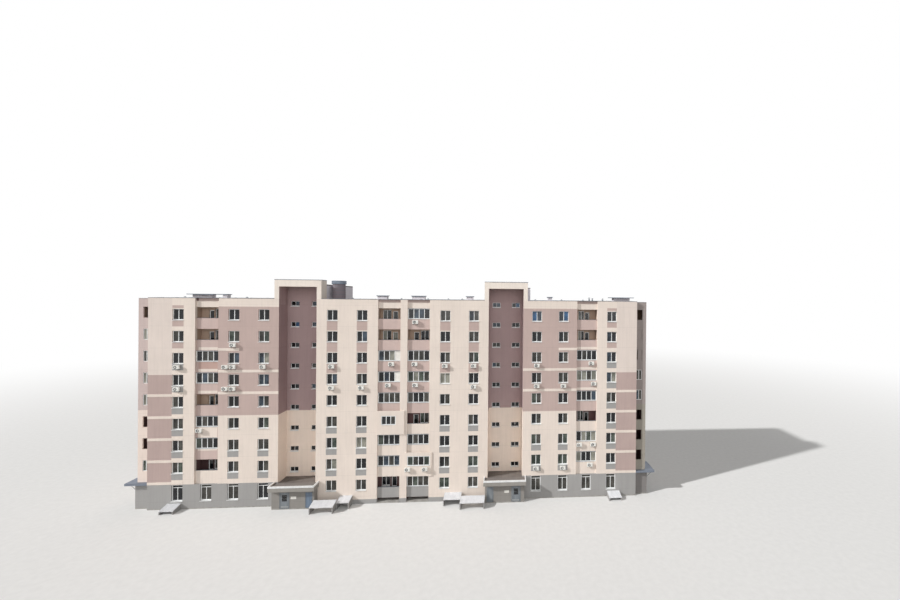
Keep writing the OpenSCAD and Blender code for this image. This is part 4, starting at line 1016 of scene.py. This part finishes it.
def addCamera(kit):
    data = bpy.data.cameras.new("photo_view")
    data.lens, data.sensor_width, data.shift_x = kit["lens"], kit["sensor"], kit["shiftX"]
    data.clip_end = kit["far"]
    view = bpy.data.objects.new("photo_view", data)
    bpy.context.scene.collection.objects.link(view)
    turned = Matrix.Rotation(kit["turn"], 4, "Z") @ Matrix.Rotation(math.pi / 2 + kit["tilt"], 4, "X")
    view.matrix_world = Matrix.Translation(kit["place"]) @ turned @ Matrix.Rotation(kit["roll"], 4, "Z")
    bpy.context.scene.camera = view


# A low key light from the left, a broad soft one in front, and an even white surround
lightKit = {
    "key_light": {"towards": (-0.79, -0.31, 0.53), "energy": 3.5, "angle": 0.03},
    "front_light": {"towards": (0.15, -0.95, 0.35), "energy": 0.98, "angle": 1.2},
}
worldKit = {"fill": 0.43, "keySideFill": 0.04, "backdrop": 1.0}


def seenDirectly(add):
    # 1 for rays of the camera and for what glass or metal mirrors, 0 for light that falls on things
    path = add("LightPath")
    seen = path.outputs["Is Camera Ray"]
    for name in ("Is Glossy Ray", "Is Transmission Ray"):
        seen = add("Math MAXIMUM", {0: seen, 1: path.outputs[name]})
    return seen


def addLights():
    for name, kit in lightKit.items():
        data = bpy.data.lights.new(name, "SUN")
        data.energy, data.angle = kit["energy"], kit["angle"]
        light = bpy.data.objects.new(name, data)
        light.rotation_mode = "QUATERNION"
        light.rotation_quaternion = Vector(kit["towards"]).to_track_quat("Z", "Y")
        bpy.context.scene.collection.objects.link(light)
    world = bpy.data.worlds.new("studio")
    bpy.context.scene.world = world
    world.use_nodes = True
    add, background = adderFor(world.node_tree), world.node_tree.nodes["Background"]
    # the surround is dimmer on the side of the key light, so that the end wall there keeps its colour
    way = add("TexCoord")
    across = add("SeparateXYZ", {0: way.outputs["Generated"]})
    fill = add("MapRange", {1: -1.0, 2: 0.2, 3: worldKit["keySideFill"], 4: worldKit["fill"],
        0: across.outputs["X"]})
    strength = add("MapRange", {4: worldKit["backdrop"], 0: seenDirectly(add), 3: fill})
    setOn(background, {"Color": linearFrom("#FFFFFF"), "Strength": strength})


# A plain pale floor. Far from the block it fades into the white backdrop, so no horizon shows.
floorKit = {"size": 420.0, "near": 30.0, "far": 110.0, "drop": 0.002, "bounce": "#A9A8A6",
    "tones": [(0.3, "#DAD9D7"), (0.7, "#DFDEDC")]}


def addFloor(kit):
    mesh = bmesh.new()
    bmesh.ops.create_grid(mesh, x_segments=8, y_segments=8, size=kit["size"] / 2)
    data = bpy.data.meshes.new("studio_floor")
    mesh.to_mesh(data)
    mesh.free()
    material, add, shader, spot = startMaterial("painted_studio_floor",
        {"Roughness": 0.8, "Specular IOR Level": 0.2})
    fleck = add("TexNoise", {"Scale": 3.0, "Detail": 4.0, "Vector": spot})
    tone = add("ValToRGB", {0: fleck}, stops=kit["tones"])
    # light that falls on the floor comes back to the block weaker than the eye sees it
    shown = add("Mix", {"data_type": "RGBA", 6: linearFrom(kit["bounce"]), 0: seenDirectly(add), 7: tone})
    setOn(shader, {"Base Color": shown.outputs[2]})
    away = add("VectorMath LENGTH", {0: spot})
    fade = add("MapRange", {"interpolation_type": "SMOOTHSTEP", 1: kit["near"], 2: kit["far"],
        0: away.outputs["Value"]})
    share = add("Math MULTIPLY", {0: fade, 1: seenDirectly(add)})
    white = add("Emission", {"Color": linearFrom("#FFFFFF"), "Strength": 1.0})
    mixed = add("MixShader", {0: share, 1: shader, 2: white})
    setOn(material.node_tree.nodes["Material Output"], {"Surface": mixed})
    data.materials.append(material)
    floor = bpy.data.objects.new("studio_floor", data)
    floor.location.z = -kit["drop"]
    bpy.context.scene.collection.objects.link(floor)


addCamera(cameraKit)
addLights()
addFloor(floorKit)
bpy.context.scene.view_settings.view_transform = "Standard"
print("camera, lights and floor set")
